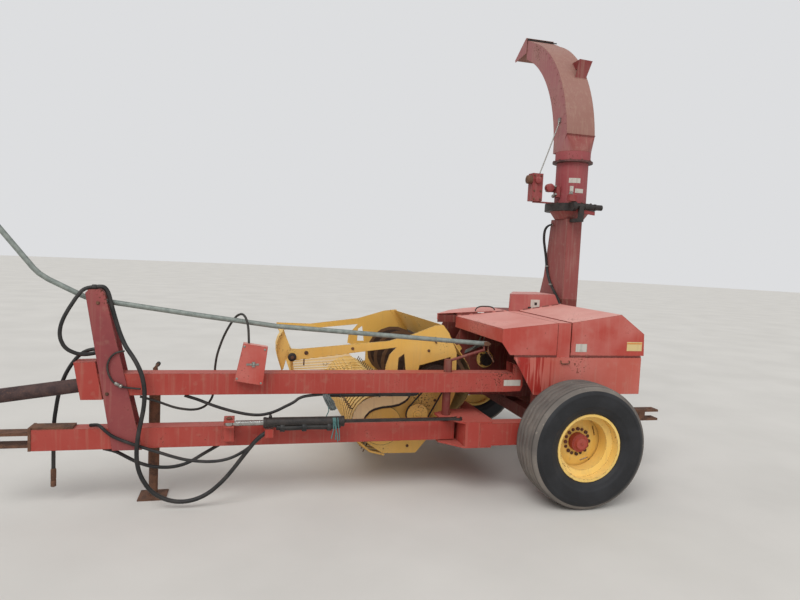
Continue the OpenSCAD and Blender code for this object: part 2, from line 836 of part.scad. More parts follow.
module jack() {
  placed() color([0.55, 0.5, 0.48]) {
    translate([jack_x, jack_y, 0]) {
      translate([-80, -80, 0]) cube([160, 160, 8]);
      translate([0, 0, 8]) cylinder(r = jack_r - 6, h = 190);
      translate([0, 0, 190]) cylinder(r = jack_r, h = 560);
      translate([0, 0, 750]) cylinder(r = 14, h = 40);
      translate([0, 0, 790]) rotate([-90, 0, 0]) cylinder(r = 9, h = 150);
    }
    block([jack_x - 40, jack_x + 60], [beam_y[1], jack_y - jack_r + 3],
      [beam_z + 20, beam_top - 20]);
  }
}

// Puts a piece on the sloping shaft, x measured forward from the tunnel
module on_shaft() {
  translate([shaft_x, pivot_y, shaft_z]) rotate([0, shaft_slope, 180])
    children();
}

module shaft_guard() {
  placed() color([0.45, 0.2, 0.18]) on_shaft() difference() {
    rotate([0, 90, 0]) cylinder(r = 40, h = guard_len);
    translate([-1, 0, 0]) rotate([0, 90, 0])
      cylinder(r = 24 + seat, h = guard_len + 10);
  }
}

module shaft_yoke() {
  placed() color([0.35, 0.33, 0.32]) on_shaft() difference() {
    union() {
      translate([20, 0, 0]) rotate([0, 90, 0])
        cylinder(r = 24, h = guard_len + 10 - 20);
      translate([guard_len + 10, 0, 0]) rotate([0, 90, 0])
        cylinder(r = yoke_r, h = yoke_len - 10);
    }
    translate([guard_len + 45, 0, 0]) rotate([0, 90, 0])
      cylinder(r = 17.5, h = 100);
  }
}

module control_box() {
  placed() color([0.72, 0.3, 0.27])
    side_plate(tunnel_y[0] - 62, 62) polygon([[-2091, 976], [-1951, 954],
      [-1975, 726], [-2137, 754]]);
}

// Rear end of the control tube, over the pivot: x and z
control_end = [-525, 973];
// Height of the control tube inside the post
control_post_z = 1200;

module control_tube() {
  y = pivot_y;
  placed() color([0.55, 0.58, 0.57])
    tube_along([[-3440, y, 1640], [-3225, y, 1368], [-3195, y, 1338],
      [-3150, y, 1308], [-2980, y, 1223], [-2930, y, 1203], [-2344, y, 1123],
      [-1900, y, 1067], [control_end[0], y, control_end[1]]], 15, 16);
}

// Swing cylinder: its eye on the frame and its rod's eye on the tongue
swing_x = [-750, -2160];
swing_y = 216;
swing_z = rail_top + plate_t + 8 + seat;

module swing_barrel() {
  placed() color([0.25, 0.22, 0.22]) {
    difference() {
      bar_x(swing_y, swing_z, -1965, 480, 30);
      bar_x(swing_y, swing_z, -1970, 250, 16 + seat);
    }
    block([-1485, swing_x[0] - 20], [swing_y - 12, swing_y + 12],
      [swing_z - 8, swing_z + 8]);
    difference() {
      translate([swing_x[0], swing_y, swing_z - 8]) cylinder(r = 26, h = 16);
      translate([swing_x[0], swing_y, swing_z - 20])
        cylinder(r = 12 + run_fit, h = 40);
    }
  }
}

module swing_rod() {
  placed() color([0.8, 0.8, 0.82]) {
    difference() {
      union() {
        bar_x(swing_y, swing_z, swing_x[1] + 36, 244, 16);
        block([swing_x[1] + 20, swing_x[1] + 40], [swing_y - 14, swing_y + 14],
          [swing_z - 9, swing_z + 9]);
        translate([swing_x[1], swing_y, swing_z - 9]) cylinder(r = 26, h = 18);
      }
      translate([swing_x[1], swing_y, swing_z - 20])
        cylinder(r = 14, h = 40);
    }
  }
}

// Upper and lower edges of an end plate's forward arm, near and far
arm_upper = [
  [[guard_x - 30, 897], [-1158, 963], [-1000, 1008], [-839, 1072], [-785, 1075]],
  [[guard_x - 30, 895], [-1523, 889], [-1087, 948], [-850, 1022], [-790, 1028]]];
arm_lower = [
  [[-1180, 720], [-1172, 800], [-1150, 870], [-1105, 920], [guard_x - 10, 828]],
  [[-1180, 720], [-1172, 800], [-1091, 893], [-1523, 846], [guard_x - 10, 828]]];
plate_rear = [[[-741, 1021], [-681, 892]], [[-745, 985], [-681, 870]]];
plate_foot = [[-672, 620], [-740, 420], [-858, 299], [-940, 200], [-1170, 203],
  [-1275, 275], [-1310, 370], [-1275, 465], [-1150, 515], [-1010, 560],
  [-1010, 660]];
// The sheet that closes the pickup's near end, outer and inner edges
end_sheet = [[-1001, 603], [-1119, 597], [-1201, 591], [-1277, 587], [-1328, 545],
  [-1359, 499], [-1380, 435], [-1388, 390], [-1375, 330], [-1340, 281],
  [-1261, 215], [-1157, 188], [-1157, 200], [-1255, 228], [-1328, 290],
  [-1358, 340], [-1352, 400], [-1290, 450], [-1115, 522], [-1041, 562],
  [-1001, 590]];
// Place of the pulley that drives the pickup, and radius of its stub
pulley_at = [-951, 475];
stub_r = 12;

module end_plate(y, side) {
  side_plate(y, 8) difference() {
    polygon(concat(arm_upper[side], plate_rear[side], plate_foot, arm_lower[side]));
    polygon([[-1092, 740], [-1088, 850], [-1050, 878], [-1030, 740]]);
    polygon([[-955, 740], [-940, 800], [-722, 858], [-712, 740]]);
    translate([reel_x, reel_z]) circle(r = 22 + run_fit);
    translate([auger_x, auger_z]) circle(r = 22 + run_fit);
    translate([guard_x, guard_z]) circle(r = 17 + run_fit);
  }
}

module header_plates() {
  placed() color([0.85, 0.67, 0.28]) {
    end_plate(header_y, 0);
    end_plate(header_y + header_w - 8, 1);
    side_plate(header_y - 6, 7) polygon(end_sheet);
    bar_y(pulley_at[0], pulley_at[1], header_y - 56, 57, stub_r);
  }
}

module header_pulley() {
  placed() color([0.4, 0.36, 0.3]) difference() {
    union() {
      bar_y(pulley_at[0], pulley_at[1], header_y - 44, 18, 73);
      bar_y(pulley_at[0], pulley_at[1], header_y - 48, 40, 28);
    }
    bar_y(pulley_at[0], pulley_at[1], header_y - 60, 80, stub_r + run_fit);
  }
}

trough_r = auger_r + 20;
// The trough's front lip, and the height of its back sheet
lip = [auger_x + trough_r * cos(122), auger_z - trough_r * sin(122)];
back_top = 1075;
back_fall = 46;

module header_trough() {
  w = header_w - 16;
  placed() color([0.85, 0.67, 0.28]) {
    difference() {
      union() {
        translate([auger_x, 0, auger_z]) side_plate(header_y + 8, w)
          arc_band(trough_r, trough_r + 5, -122, 42);
        side_plate(header_y + 8, w) polygon([[-785, back_top], [-789, back_top - 3],
          [auger_x + trough_r * cos(40), auger_z + trough_r * sin(40)],
          [auger_x + (trough_r + 5) * cos(40) + 2,
          auger_z + (trough_r + 5) * sin(40)]]);
      }
      block([-700, -500], [feed_y[0] + 20, feed_y[1] - 20], [575, 800]);
      // The back sheet's top edge falls towards the far side
      translate([auger_x - 60, header_y, back_top])
        rotate([-atan(back_fall / header_w), 0, 0]) cube([260, header_w + 60, 90]);
    }
    for (y = [feed_y[0] - 14, feed_y[1] + 4]) side_plate(y, 10) polygon([
      [auger_x + trough_r + 3, auger_z - 40], [lift_x, lift_z - 28],
      [lift_x + 22, lift_z], [lift_x, lift_z + 28],
      [auger_x + trough_r * cos(40), lift_z + 10],
      [auger_x + trough_r * cos(25), auger_z + trough_r * sin(25)]]);
    bar_y(lift_x, lift_z, feed_y[0] - 14, 22, 15);
    bar_y(lift_x, lift_z, feed_y[1] - 8, 22, 15);
  }
}

// One auger flight: a thin helix from y0, turning by turns
function flight_ring(y, a, r0, r1, t) = [
  [r0 * cos(a), y, r0 * sin(a)], [r1 * cos(a), y, r1 * sin(a)],
  [r1 * cos(a), y + t, r1 * sin(a)], [r0 * cos(a), y + t, r0 * sin(a)]];

module flight(y0, y1, turns, hand, r0, r1) {
  t = 6;
  n = round(abs(turns) * 18);
  rings = [for (i = [0 : n])
    flight_ring(y0 + (y1 - y0) * i / n, hand * 360 * turns * i / n, r0, r1, t)];
  points = [for (g = rings) for (p = g) p];
  sides = [for (i = [0 : n - 1]) for (k = [0 : 3])
    let (a = 4 * i + k, b = 4 * i + (k + 1) % 4, c = a + 4, d = b + 4)
      hand > 0 ? [a, c, d, b] : [a, b, d, c]];
  caps = hand > 0 ? [[3, 0, 1, 2], [4 * n + 3, 4 * n + 2, 4 * n + 1, 4 * n]]
    : [[3, 2, 1, 0], [4 * n, 4 * n + 1, 4 * n + 2, 4 * n + 3]];
  polyhedron(points, concat(sides, caps));
}

module auger() {
  y0 = header_y + 20;
  y1 = header_y + header_w - 20;
  mid = (feed_y[0] + feed_y[1]) / 2;
  placed() color([0.45, 0.32, 0.25]) {
    bar_y(auger_x, auger_z, y0, y1 - y0, drum_r);
    bar_y(auger_x, auger_z, header_y - 30, header_w + 60, 22);
    translate([auger_x, 0, auger_z]) {
      flight(y0, mid - 120, 2, 1, drum_r - 2, auger_r);
      flight(y1 - 6, mid + 114, 2.6, -1, drum_r - 2, auger_r);
    }
  }
}

band_count = floor((header_w - 16 - band_w) / band_pitch) + 1;
band_y0 = header_y + header_w / 2 - (band_count - 1) * band_pitch / 2;

module pickup_bands() {
  placed() color([0.85, 0.67, 0.28]) {
    for (i = [0 : band_count - 1])
      translate([reel_x, 0, reel_z])
        side_plate(band_y0 + i * band_pitch - band_w / 2, band_w)
          union() {
            arc_band(band_r - 3, band_r, 41, 300, 18);
            polygon([[band_r * cos(42), band_r * sin(42)],
              [(band_r - 3) * cos(42), (band_r - 3) * sin(42)],
              lip - [reel_x, reel_z], lip - [reel_x, reel_z] + [3, 4]]);
          }
    block([lip[0] - 3, lip[0] + 9], [header_y + 8, header_y + header_w - 8],
      [lip[1], lip[1] + 6]);
  }
}

bar_ring = 105;
bars = 4;

module pickup_reel() {
  y0 = header_y + 14;
  len = header_w - 28;
  placed() color([0.4, 0.36, 0.3]) {
    bar_y(reel_x, reel_z, header_y - 20, header_w + 40, 22);
    for (y = [y0, y0 + len / 2 - 4, y0 + len - 8])
      bar_y(reel_x, reel_z, y, 8, bar_ring + 20);
    // Drive disc outside the near plate
    bar_y(reel_x, reel_z, header_y - 20, 8, 134);
    for (b = [0 : bars - 1]) translate([reel_x, 0, reel_z])
      rotate([0, 25 + b * 360 / bars, 0]) {
        bar_y(bar_ring, 0, y0, len, 14);
        for (i = [0 : band_count - 2])
          translate([bar_ring, band_y0 + (i + 0.5) * band_pitch, 0])
            rotate([0, 90, 0]) cylinder(r = 4, h = tine_r - bar_ring, $fn = 6);
      }
  }
}

// Front edge of the windguard's near shield, from the tube's place
shield_arc = [[-58, 175], [-90, 120], [-101, 80], [-99, 25], [-86, -23],
  [-62, -93]];

module windguard() {
  fingers = 22;
  y0 = header_y + 40;
  inner = [for (i = [5 : -1 : 0]) shield_arc[i] + [5, 2 - i]];
  placed() color([0.82, 0.66, 0.3]) {
    bar_y(guard_x, guard_z, header_y - 20, header_w + 40, 17);
    translate([guard_x, 0, guard_z]) {
      side_plate(header_y - 10, 120) polygon(concat(shield_arc, inner));
      for (y = [header_y + 14, header_y + 100]) side_plate(y, 6)
        polygon(concat([for (p = shield_arc) p + [1, 0]],
          [[-50, -80], [-35, -15], [15, -15], [15, 25], [-12, 46]]));
    }
    for (i = [0 : fingers - 1])
      let (y = y0 + i * (header_w - 80) / (fingers - 1)) {
        rod([guard_x, y, guard_z - 10], [guard_x + 28, y, 668], 5);
        rod([guard_x + 27, y, 667], [guard_x + 600, y, 649], 4.4);
      }
  }
}

// Routes of the hoses, all carried by the tongue
lift_route = [[-2900, 318, 1275], [-2860, 318, 1274.5], [-2836, 318, 1240],
  [-2818, 318, 1170], [-2796, 318, 1090], [-2770, 315, 1010], [-2735, 296, 940], [-2690, 270, 880],
  [-2648, 252, 800], [-2628, 250, 700], [-2632, 250, 590], [-2654, 250, 460],
  [-2664, 250, 330], [-2644, 250, 215], [-2580, 250, 110], [-2480, 248, 52],
  [-2370, 245, 46], [-2266, 240, 90], [-2170, 235, 180], [-2080, 229, 300],
  [-2000, 224, 405], [-1940, 220, 452]];
loop_route = [[-2915, 315, 1273.5], [-2962, 305, 1258], [-3012, 292, 1185],
  [-3060, 282, 1085], [-3072, 284, 1000], [-3045, 300, 930],
  [-2985, 325, 894], [-2930, 345, 892], [-2880, 356, 902]];
spare_route = [[-2880, 385, 912], [-2940, 393, 908], [-3000, 403, 875],
  [-3062, 416, 790], [-3106, 426, 680], [-3130, 430, 550], [-3140, 430, 430],
  [-3140, 430, 150]];
swing_route = [[-2930, 345, 479.5], [-2884, 322, 486], [-2852, 282, 479],
  [-2800, 281, 432], [-2700, 279, 386], [-2544, 272, 330], [-2400, 268, 284],
  [-2246, 262, 270], [-2130, 256, 296], [-2030, 250, 362],
  [-1945, 246, 446]];
under_route = [[-2860, 351, 339.5], [-2790, 350, 318], [-2690, 345, 262],
  [-2600, 342, 228], [-2492, 342, 218], [-2399, 350, 236],
  [-2314, 366, 280], [-2205, 385, 339.5]];
cable_route = [[-2660, 308, 652], [-2560, 314, 618], [-2471, 322, 582],
  [-2371, 350, 560], [-2300, 392, 575], [-2262, 426, 640], [-2256, 430, 780],
  [-2244, 424, 880], [-2205, 412, 1000], [-2155, 392, 1095], [-2120, 362, 1132],
  [-2090, 325, 1128], [-2068, 294, 1070], [-2060, 272, 955]];
header_route = [[-2420, 330, 650.5], [-2340, 334, 622], [-2240, 338, 580],
  [-2110, 340, 540], [-1990, 336, 524], [-1890, 328, 548], [-1780, 320, 606],
  [-1680, 316, 646], [-1250, 316, 650.5]];

module hose(route, r) {
  placed() color([0.1, 0.1, 0.1]) tube_along(route, r, 8);
}

module hose_lift() {
  hose(lift_route, 12.5);
}

module hose_loop() {
  hose(loop_route, 11);
}

module hose_spare() {
  hose(spare_route, 11);
  placed() color([0.4, 0.3, 0.25]) translate(spare_route[7] - [0, 0, 58])
    cylinder(r = 15, h = 58);
}

module hose_swing() {
  hose(swing_route, 9);
}

module hose_under() {
  hose(under_route, 10);
}

module control_cable() {
  hose(cable_route, 7);
}

module hose_header() {
  hose(header_route, 9);
}

axle();
frame_rails();
cross_front();
cross_rear();
wagon_hitch();
shield_posts();
lower_shield();
front_hood();
rear_cover();
hood_strap();
centre_hood();
feed_housing();
feed_roll_upper();
feed_roll_lower();
cutter_housing();
gearbox();
blower();
riser();
top_box();
turntable();
spout_drive();
spout_tube();
spout_bend();
flap_actuator();
spout_flap();
tyre(-1);  // tyre_left
rim(-1);  // rim_left
hub(-1);  // hub_left
tyre(1);  // tyre_right
rim(1);  // rim_right
hub(1);  // hub_right
tongue_beam();
tongue_pivot();
tunnel();
hose_post();
hitch_clevis();
jack();
shaft_guard();
shaft_yoke();
control_box();
control_tube();
swing_barrel();
swing_rod();
header_plates();
header_trough();
header_pulley();
auger();
pickup_bands();
pickup_reel();
windguard();
hose_lift();
hose_loop();
hose_spare();
hose_swing();
hose_under();
control_cable();
hose_header();
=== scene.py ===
import math
import random

import bmesh
import bpy
from mathutils import Matrix, Vector


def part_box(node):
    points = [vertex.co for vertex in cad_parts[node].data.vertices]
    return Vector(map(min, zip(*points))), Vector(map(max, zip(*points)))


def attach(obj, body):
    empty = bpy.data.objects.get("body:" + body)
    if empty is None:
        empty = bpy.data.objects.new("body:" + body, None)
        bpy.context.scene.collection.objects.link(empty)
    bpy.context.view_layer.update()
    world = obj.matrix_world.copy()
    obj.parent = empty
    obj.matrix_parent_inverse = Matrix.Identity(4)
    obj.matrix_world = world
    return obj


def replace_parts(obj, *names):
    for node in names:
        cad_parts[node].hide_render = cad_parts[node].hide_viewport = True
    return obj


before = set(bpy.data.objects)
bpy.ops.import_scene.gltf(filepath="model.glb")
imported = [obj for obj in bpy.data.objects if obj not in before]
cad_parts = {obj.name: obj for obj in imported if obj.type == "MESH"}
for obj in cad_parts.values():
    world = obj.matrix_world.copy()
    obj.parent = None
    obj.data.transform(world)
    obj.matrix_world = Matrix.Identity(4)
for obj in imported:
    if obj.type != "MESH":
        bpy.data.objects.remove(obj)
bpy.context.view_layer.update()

random.seed(12)

# Machine places are in millimetres: x rearward from the axle, y to the right from the
# left tyre's middle plane, z up from the ground.
low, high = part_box("tyre_left")
ORIGIN = Vector(((low[0] + high[0]) / 2, (low[1] + high[1]) / 2, 0))

# Places that several pieces share: the axle's height, the right tyre's middle plane, how
# far each rim's disc lies inside its tyre's, the auger's axis in x and z, the spout's axis
AXLE_Z, RIGHT_Y, DISC_INSIDE = 395, 1930, 49
AUGER_AXIS = (-805, 685)
SPOUT_X, SPOUT_Y = 478, 1180


def at(x, y, z):
    """A machine place as a point of the shared frame, in metres."""
    return ORIGIN + Vector((x, y, z)) / 1000


# The camera: yaw and pitch of the view, and how far the machine's nose stands up
YAW, PITCH, NOSE_UP = math.radians(14), math.radians(4.75), math.radians(2.75)
FOCAL_PX, PHOTO_WIDTH, SENSOR = 610, 800, 36
CAMERA_PLACE = (-2084.7, -3401.8, 1524.0)
camera_data = bpy.data.cameras.new("camera")
camera_data.sensor_width = SENSOR
camera_data.lens = SENSOR * FOCAL_PX / PHOTO_WIDTH
camera = bpy.data.objects.new("camera", camera_data)
bpy.context.scene.collection.objects.link(camera)
bpy.context.scene.camera = camera
forward = Vector((math.sin(YAW) * math.cos(PITCH), math.cos(YAW) * math.cos(PITCH),
                  -math.sin(PITCH)))
right = Vector((math.cos(YAW), -math.sin(YAW), 0))
tilt = Matrix.Rotation(-NOSE_UP, 3, "Y")
axes = Matrix([tilt @ right, tilt @ right.cross(forward), tilt @ -forward]).transposed()
camera.matrix_world = Matrix.Translation(at(*CAMERA_PLACE)) @ axes.to_4x4()

# The bend's sizes, the same as the source's: places in y and z, radii, angle
BEND_Y, BEND_Z, BEND_R, DUCT_D, DUCT_TIP = 2287, 2450, 1000, 215, 155
BEND_TURN = math.radians(63)
OUTER_C = (((BEND_R + DUCT_D) ** 2 - (BEND_R + DUCT_TIP) ** 2)
           / (2 * (BEND_R + DUCT_D - (BEND_R + DUCT_TIP) * math.cos(BEND_TURN))))
OUTER_R = BEND_R + DUCT_D - OUTER_C

# Hose routes, the same points as the source's
LIFT = [(-2900, 318, 1275), (-2860, 318, 1274.5), (-2836, 318, 1240), (-2818, 318, 1170),
        (-2796, 318, 1090), (-2770, 315, 1010), (-2735, 296, 940), (-2690, 270, 880),
        (-2648, 252, 800),
        (-2628, 250, 700), (-2632, 250, 590), (-2654, 250, 460), (-2664, 250, 330),
        (-2644, 250, 215), (-2580, 250, 110), (-2480, 248, 52), (-2370, 245, 46),
        (-2266, 240, 90), (-2170, 235, 180), (-2080, 229, 300), (-2000, 224, 405),
        (-1940, 220, 452)]
LOOP = [(-2915, 315, 1273.5), (-2962, 305, 1258), (-3012, 292, 1185), (-3060, 282, 1085),
        (-3072, 284, 1000), (-3045, 300, 930), (-2985, 325, 894), (-2930, 345, 892),
        (-2880, 356, 902)]
SPARE = [(-2880, 385, 912), (-2940, 393, 908), (-3000, 403, 875), (-3062, 416, 790),
         (-3106, 426, 680), (-3130, 430, 550), (-3140, 430, 430), (-3140, 430, 150)]
SWING = [(-2930, 345, 479.5), (-2884, 322, 486), (-2852, 282, 479), (-2800, 281, 432),
         (-2700, 279, 386), (-2544, 272, 330), (-2400, 268, 284), (-2246, 262, 270),
         (-2130, 256, 296), (-2030, 250, 362), (-1945, 246, 446)]
UNDER = [(-2860, 351, 339.5), (-2790, 350, 318), (-2690, 345, 262), (-2600, 342, 228),
         (-2492, 342, 218), (-2399, 350, 236), (-2314, 366, 280), (-2205, 385, 339.5)]
CABLE = [(-2660, 308, 652), (-2560, 314, 618), (-2471, 322, 582), (-2371, 350, 560),
         (-2300, 392, 575), (-2262, 426, 640), (-2256, 430, 780), (-2244, 424, 880),
         (-2205, 412, 1000), (-2155, 392, 1095), (-2120, 362, 1132), (-2090, 325, 1128),
         (-2068, 294, 1070), (-2060, 272, 955)]
HEADER = [(-2420, 330, 650.5), (-2340, 334, 622), (-2240, 338, 580), (-2110, 340, 540),
          (-1990, 336, 524), (-1890, 328, 548), (-1780, 320, 606), (-1680, 316, 646),
          (-1250, 316, 650.5)]


# --- Materials ---

def linear(colour):
    """The linear RGBA of an sRGB hex colour."""
    parts = [int(colour[i:i + 2], 16) / 255 for i in (1, 3, 5)]
    return [p / 12.92 if p <= 0.04045 else ((p + 0.055) / 1.055) ** 2.4 for p in parts] + [1]


def feed(owner, node, inputs):
    """Links a node's inputs to sockets, or sets them to values."""
    for name, value in inputs.items():
        if isinstance(value, bpy.types.NodeSocket):
            owner.node_tree.links.new(value, node.inputs[name])
        else:
            node.inputs[name].default_value = value


def add(owner, kind, inputs, out=0, **settings):
    """Adds a node with its settings and inputs, and gives one of its outputs. By number,
    Map Range takes 0 value, 1 from, 2 to, and gives a share that runs from 0 to 1."""
    node = owner.node_tree.nodes.new("ShaderNode" + kind)
    for name, value in settings.items():
        setattr(node, name, value)
    feed(owner, node, inputs)
    return node.outputs[out]


def coats(owner, colour, layers):
    """Lays colours over one another in turn, each by its share from 0 to 1."""
    for share, over in layers:
        colour = add(owner, "Mix", {0: share, 6: colour, 7: over}, 2, data_type="RGBA")
    return colour


def started(name):
    """A new material with its shader, and its place in metres on the machine."""
    material = bpy.data.materials.new(name)
    material.use_nodes = True
    shader = material.node_tree.nodes["Principled BSDF"]
    return material, shader, add(material, "TexCoord", {}, "Object")


def grain(material, place, size, detail, stretch=None):
    """Noise whose patches are about size metres across, stretched by real lengths."""
    if stretch:
        place = add(material, "Mapping", {"Vector": place, "Scale": [size / s for s in stretch]})
    return add(material, "TexNoise", {"Vector": place, "Scale": 1 / size, "Detail": detail})


def worn_edges(material):
    """A share that is 1 within 5 mm of sharp edges, where paint is knocked off."""
    rounded = add(material, "Bevel", {"Radius": 0.005}, samples=4)
    true = add(material, "NewGeometry", {}, "Normal")
    turn = add(material, "VectorMath", {0: rounded, 1: true}, "Value", operation="DOT_PRODUCT")
    return add(material, "MapRange", {0: turn, 1: 0.985, 2: 0.90})


def from_axis(material, place, centre, flat):
    """The distance in metres from an axis through a machine place. Flat is 0 for the
    direction that the axis runs in, and 1 for the other two."""
    centre = at(*centre)
    near = add(material, "Mapping", {"Vector": place, "Scale": flat,
                                     "Location": [-c * f for c, f in zip(centre, flat)]})
    return add(material, "VectorMath", {0: near}, "Value", operation="LENGTH")


def inside(material, value, low, high, soft):
    """A share that is 1 between two values and falls to 0 over a soft margin."""
    rise = add(material, "MapRange", {0: value, 1: low - soft, 2: low})
    fall = add(material, "MapRange", {0: value, 1: high + soft, 2: high})
    return add(material, "Math", {0: rise, 1: fall}, operation="MULTIPLY")


def height_paint(material, place, low, high, within, beyond):
    """One paint between two heights of the machine in mm, another above and below."""
    height = add(material, "SeparateXYZ", {0: place}, "Z")
    share = inside(material, height, low / 1000, high / 1000, 0.002)
    return coats(material, linear(beyond), [(share, linear(within))])


def ring_paint(material, place, axis, radius, within, beyond):
    """One colour within a radius of a cross axis at x and z, another beyond it, in mm."""
    distance = from_axis(material, place, (axis[0], 0, axis[1]), (1, 0, 1))
    share = add(material, "MapRange", {0: distance, 1: (radius - 1) / 1000,
                                       2: (radius + 1) / 1000})
    return coats(material, linear(within), [(share, linear(beyond))])


def spout_paint(material, place):
    """Mauve side walls, a tan outer wall, and red on the foot and the corner bracket."""
    facing = add(material, "SeparateXYZ", {0: place.node.outputs["Normal"]}, "X")
    facing = add(material, "Math", {0: facing}, operation="ABSOLUTE")
    side = add(material, "MapRange", {0: facing, 1: 0.45, 2: 0.75})
    foot = height_paint(material, place, 2300, 2560, "#8C3C38", "#94675B")
    # The bracket stands out past the outer wall's arc
    out = from_axis(material, place, (SPOUT_X, BEND_Y - OUTER_C, BEND_Z), (0, 1, 1))
    out = add(material, "MapRange", {0: out, 1: (OUTER_R + 2) / 1000, 2: (OUTER_R + 6) / 1000})
    height = add(material, "SeparateXYZ", {0: place}, "Z")
    out = add(material, "Math", {0: out, 1: inside(material, height, 2.90, 3.30, 0.01)},
              operation="MULTIPLY")
    return coats(material, foot, [(side, linear("#9E5E60")), (out, linear("#7A2826"))])


def enamel(name, paint, bleached_and_lit, rust, dust, bare=0.63, chalk_and_top_light=0.75, grime=0.25, drips=None):
    """Alkyd enamel sprayed on sheet steel and left outdoors: a chalky skin, paler on upward faces
    as sun bleaching and painted light from above, with rain streaks, dust, rust where it chips at
    the edges.
    Paint is a colour or a function that gives it by place, and drips are a box of x and z
    where it has run."""
    material, shader, place = started(name)
    paint = paint(material, place) if callable(paint) else linear(paint)
    up = add(material, "SeparateXYZ", {0: place.node.outputs["Normal"]}, "Z")
    patches = grain(material, place, 0.28, 5)
    # Upward faces take the bleached colour: partly sun bleaching, partly painted light from above
    bleach_and_top_light = add(material, "MapRange", {0: up, 1: 0.15, 2: 0.95})
    share = add(material, "MapRange", {0: patches, 1: 0.40, 2: 0.68})
    share = add(material, "Math", {0: share, 1: 0.34}, operation="MULTIPLY")
    share = add(material, "Math", {0: bleach_and_top_light, 1: chalk_and_top_light, 2: share}, operation="MULTIPLY_ADD",
                use_clamp=True)
    layers = [(share, linear(bleached_and_lit))]
    if drips:
        low, high = at(drips[0], 0, drips[2]), at(drips[1], 0, drips[3])
        spot = add(material, "SeparateXYZ", {0: place}).node.outputs
        area = add(material, "Math", {0: inside(material, spot["X"], low.x, high.x, 0.06),
                                      1: inside(material, spot["Z"], low.z, high.z, 0.05)},
                   operation="MULTIPLY")
        # Runs of darker paint, 30 mm wide and 500 mm long
        runs = grain(material, place, 0.03, 2, (0.03, 0.03, 0.5))
        runs = add(material, "MapRange", {0: runs, 1: 0.41, 2: 0.46})
        runs = add(material, "Math", {0: area, 1: runs}, operation="MULTIPLY")
        layers.append((runs, linear("#A4241A")))
    # Rain streaks, 18 mm wide and 350 mm long
    streaks = grain(material, place, 0.018, 3, (0.018, 0.018, 0.35))
    streaks = add(material, "MapRange", {0: streaks, 1: 0.52, 2: 0.75})
    streaks = add(material, "Math", {0: streaks, 1: grime}, operation="MULTIPLY")
    # Scuffs in patches of 45 mm
    scuffs = add(material, "MapRange", {0: grain(material, place, 0.045, 8), 1: 0.58, 2: 0.72})
    scuffs = add(material, "Math", {0: scuffs, 1: grime * 0.7}, operation="MULTIPLY")
    # Rust: freckles of 11 mm in the blotches, and broken along the edges
    freckles = grain(material, place, 0.011, 4)
    spots = add(material, "Math", {0: freckles, 1: patches}, operation="MULTIPLY")
    spots = add(material, "MapRange", {0: spots, 1: bare * bare * 0.93, 2: bare * bare * 1.12})
    edges = add(material, "Math", {0: worn_edges(material), 1: freckles}, operation="MULTIPLY")
    edges = add(material, "MapRange", {0: edges, 1: 0.40, 2: 0.52})
    rusty = add(material, "Math", {0: spots, 1: edges}, operation="MAXIMUM")
    layers += [(streaks, linear(dust)), (scuffs, linear(dust)), (rusty, linear(rust))]
    # Shallow dents of 220 mm, and freckles that stand up by 0.6 mm
    dents = grain(material, place, 0.22, 1)
    skin = add(material, "Bump", {"Strength": 0.25, "Distance": 0.006, "Height": dents})
    skin = add(material, "Bump", {"Strength": 0.35, "Distance": 0.0006, "Height": freckles,
                                  "Normal": skin})
    gloss = add(material, "MapRange", {"Value": rusty, "To Min": 0.62, "To Max": 0.95})
    feed(material, shader, {"Base Color": coats(material, paint, layers), "Roughness": gloss,
                            "Normal": skin, "IOR": 1.5})
    return material


def iron(name, dark, light, fleck, size, rough=0.85, metal=0.0, tone=None):
    """Rolled or cast iron without paint: fine rust in three browns, rough to the touch.
    A tone is what is left of a paint over three quarters of it, by place."""
    material, shader, place = started(name)
    patches = grain(material, place, size, 6)
    freckles = grain(material, place, size / 9, 4)
    rusty = add(material, "MapRange", {0: patches, 1: 0.38, 2: 0.62})
    flecked = add(material, "MapRange", {0: freckles, 1: 0.55, 2: 0.70})
    layers = [(rusty, linear(light)), (flecked, linear(fleck))]
    if tone:
        layers.append((0.75, tone(material, place)))
    skin = add(material, "Bump", {"Strength": 0.5, "Distance": 0.0012, "Height": freckles})
    gloss = add(material, "MapRange", {"Value": freckles, "To Min": rough - 0.12,
                                       "To Max": rough + 0.1})
    feed(material, shader, {"Base Color": coats(material, linear(dark), layers),
                            "Roughness": gloss, "Normal": skin, "Metallic": metal})
    return material


def rubber(name, black, dusty, size, dust_share, rough, grooves=None):
    """Vulcanised rubber: nearly black, greyed by sun, with dust in what stands up, and
    black in the grooves below a radius from the wheel's axis."""
    material, shader, place = started(name)
    patches = grain(material, place, size, 5)
    fine = grain(material, place, size / 14, 4)
    share = add(material, "MapRange", {0: patches, 1: 0.42, 2: 0.66})
    share = add(material, "Math", {0: share, 1: dust_share}, operation="MULTIPLY")
    specks = add(material, "MapRange", {0: fine, 1: 0.62, 2: 0.74})
    colour = coats(material, linear(black), [(share, linear(dusty)), (specks, linear(dusty))])
    if grooves:
        depth = from_axis(material, place, (0, 0, AXLE_Z), (1, 0, 1))
        ridge = add(material, "MapRange", {0: depth, 1: (grooves - 2) / 1000, 2: grooves / 1000})
        shoulder = add(material, "SeparateXYZ", {0: place.node.outputs["Normal"]}, "Y")
        shoulder = add(material, "Math", {0: shoulder}, operation="ABSOLUTE")
        shoulder = add(material, "MapRange", {0: shoulder, 1: 0.2, 2: 0.45})
        ridge = add(material, "Math", {0: ridge, 1: shoulder}, operation="MAXIMUM")
        colour = coats(material, linear("#151413"), [(ridge, colour)])
    skin = add(material, "Bump", {"Strength": 0.3, "Distance": 0.0008, "Height": fine})
    feed(material, shader, {"Base Color": colour, "Roughness": rough, "Normal": skin,
                            "IOR": 1.5})
    return material
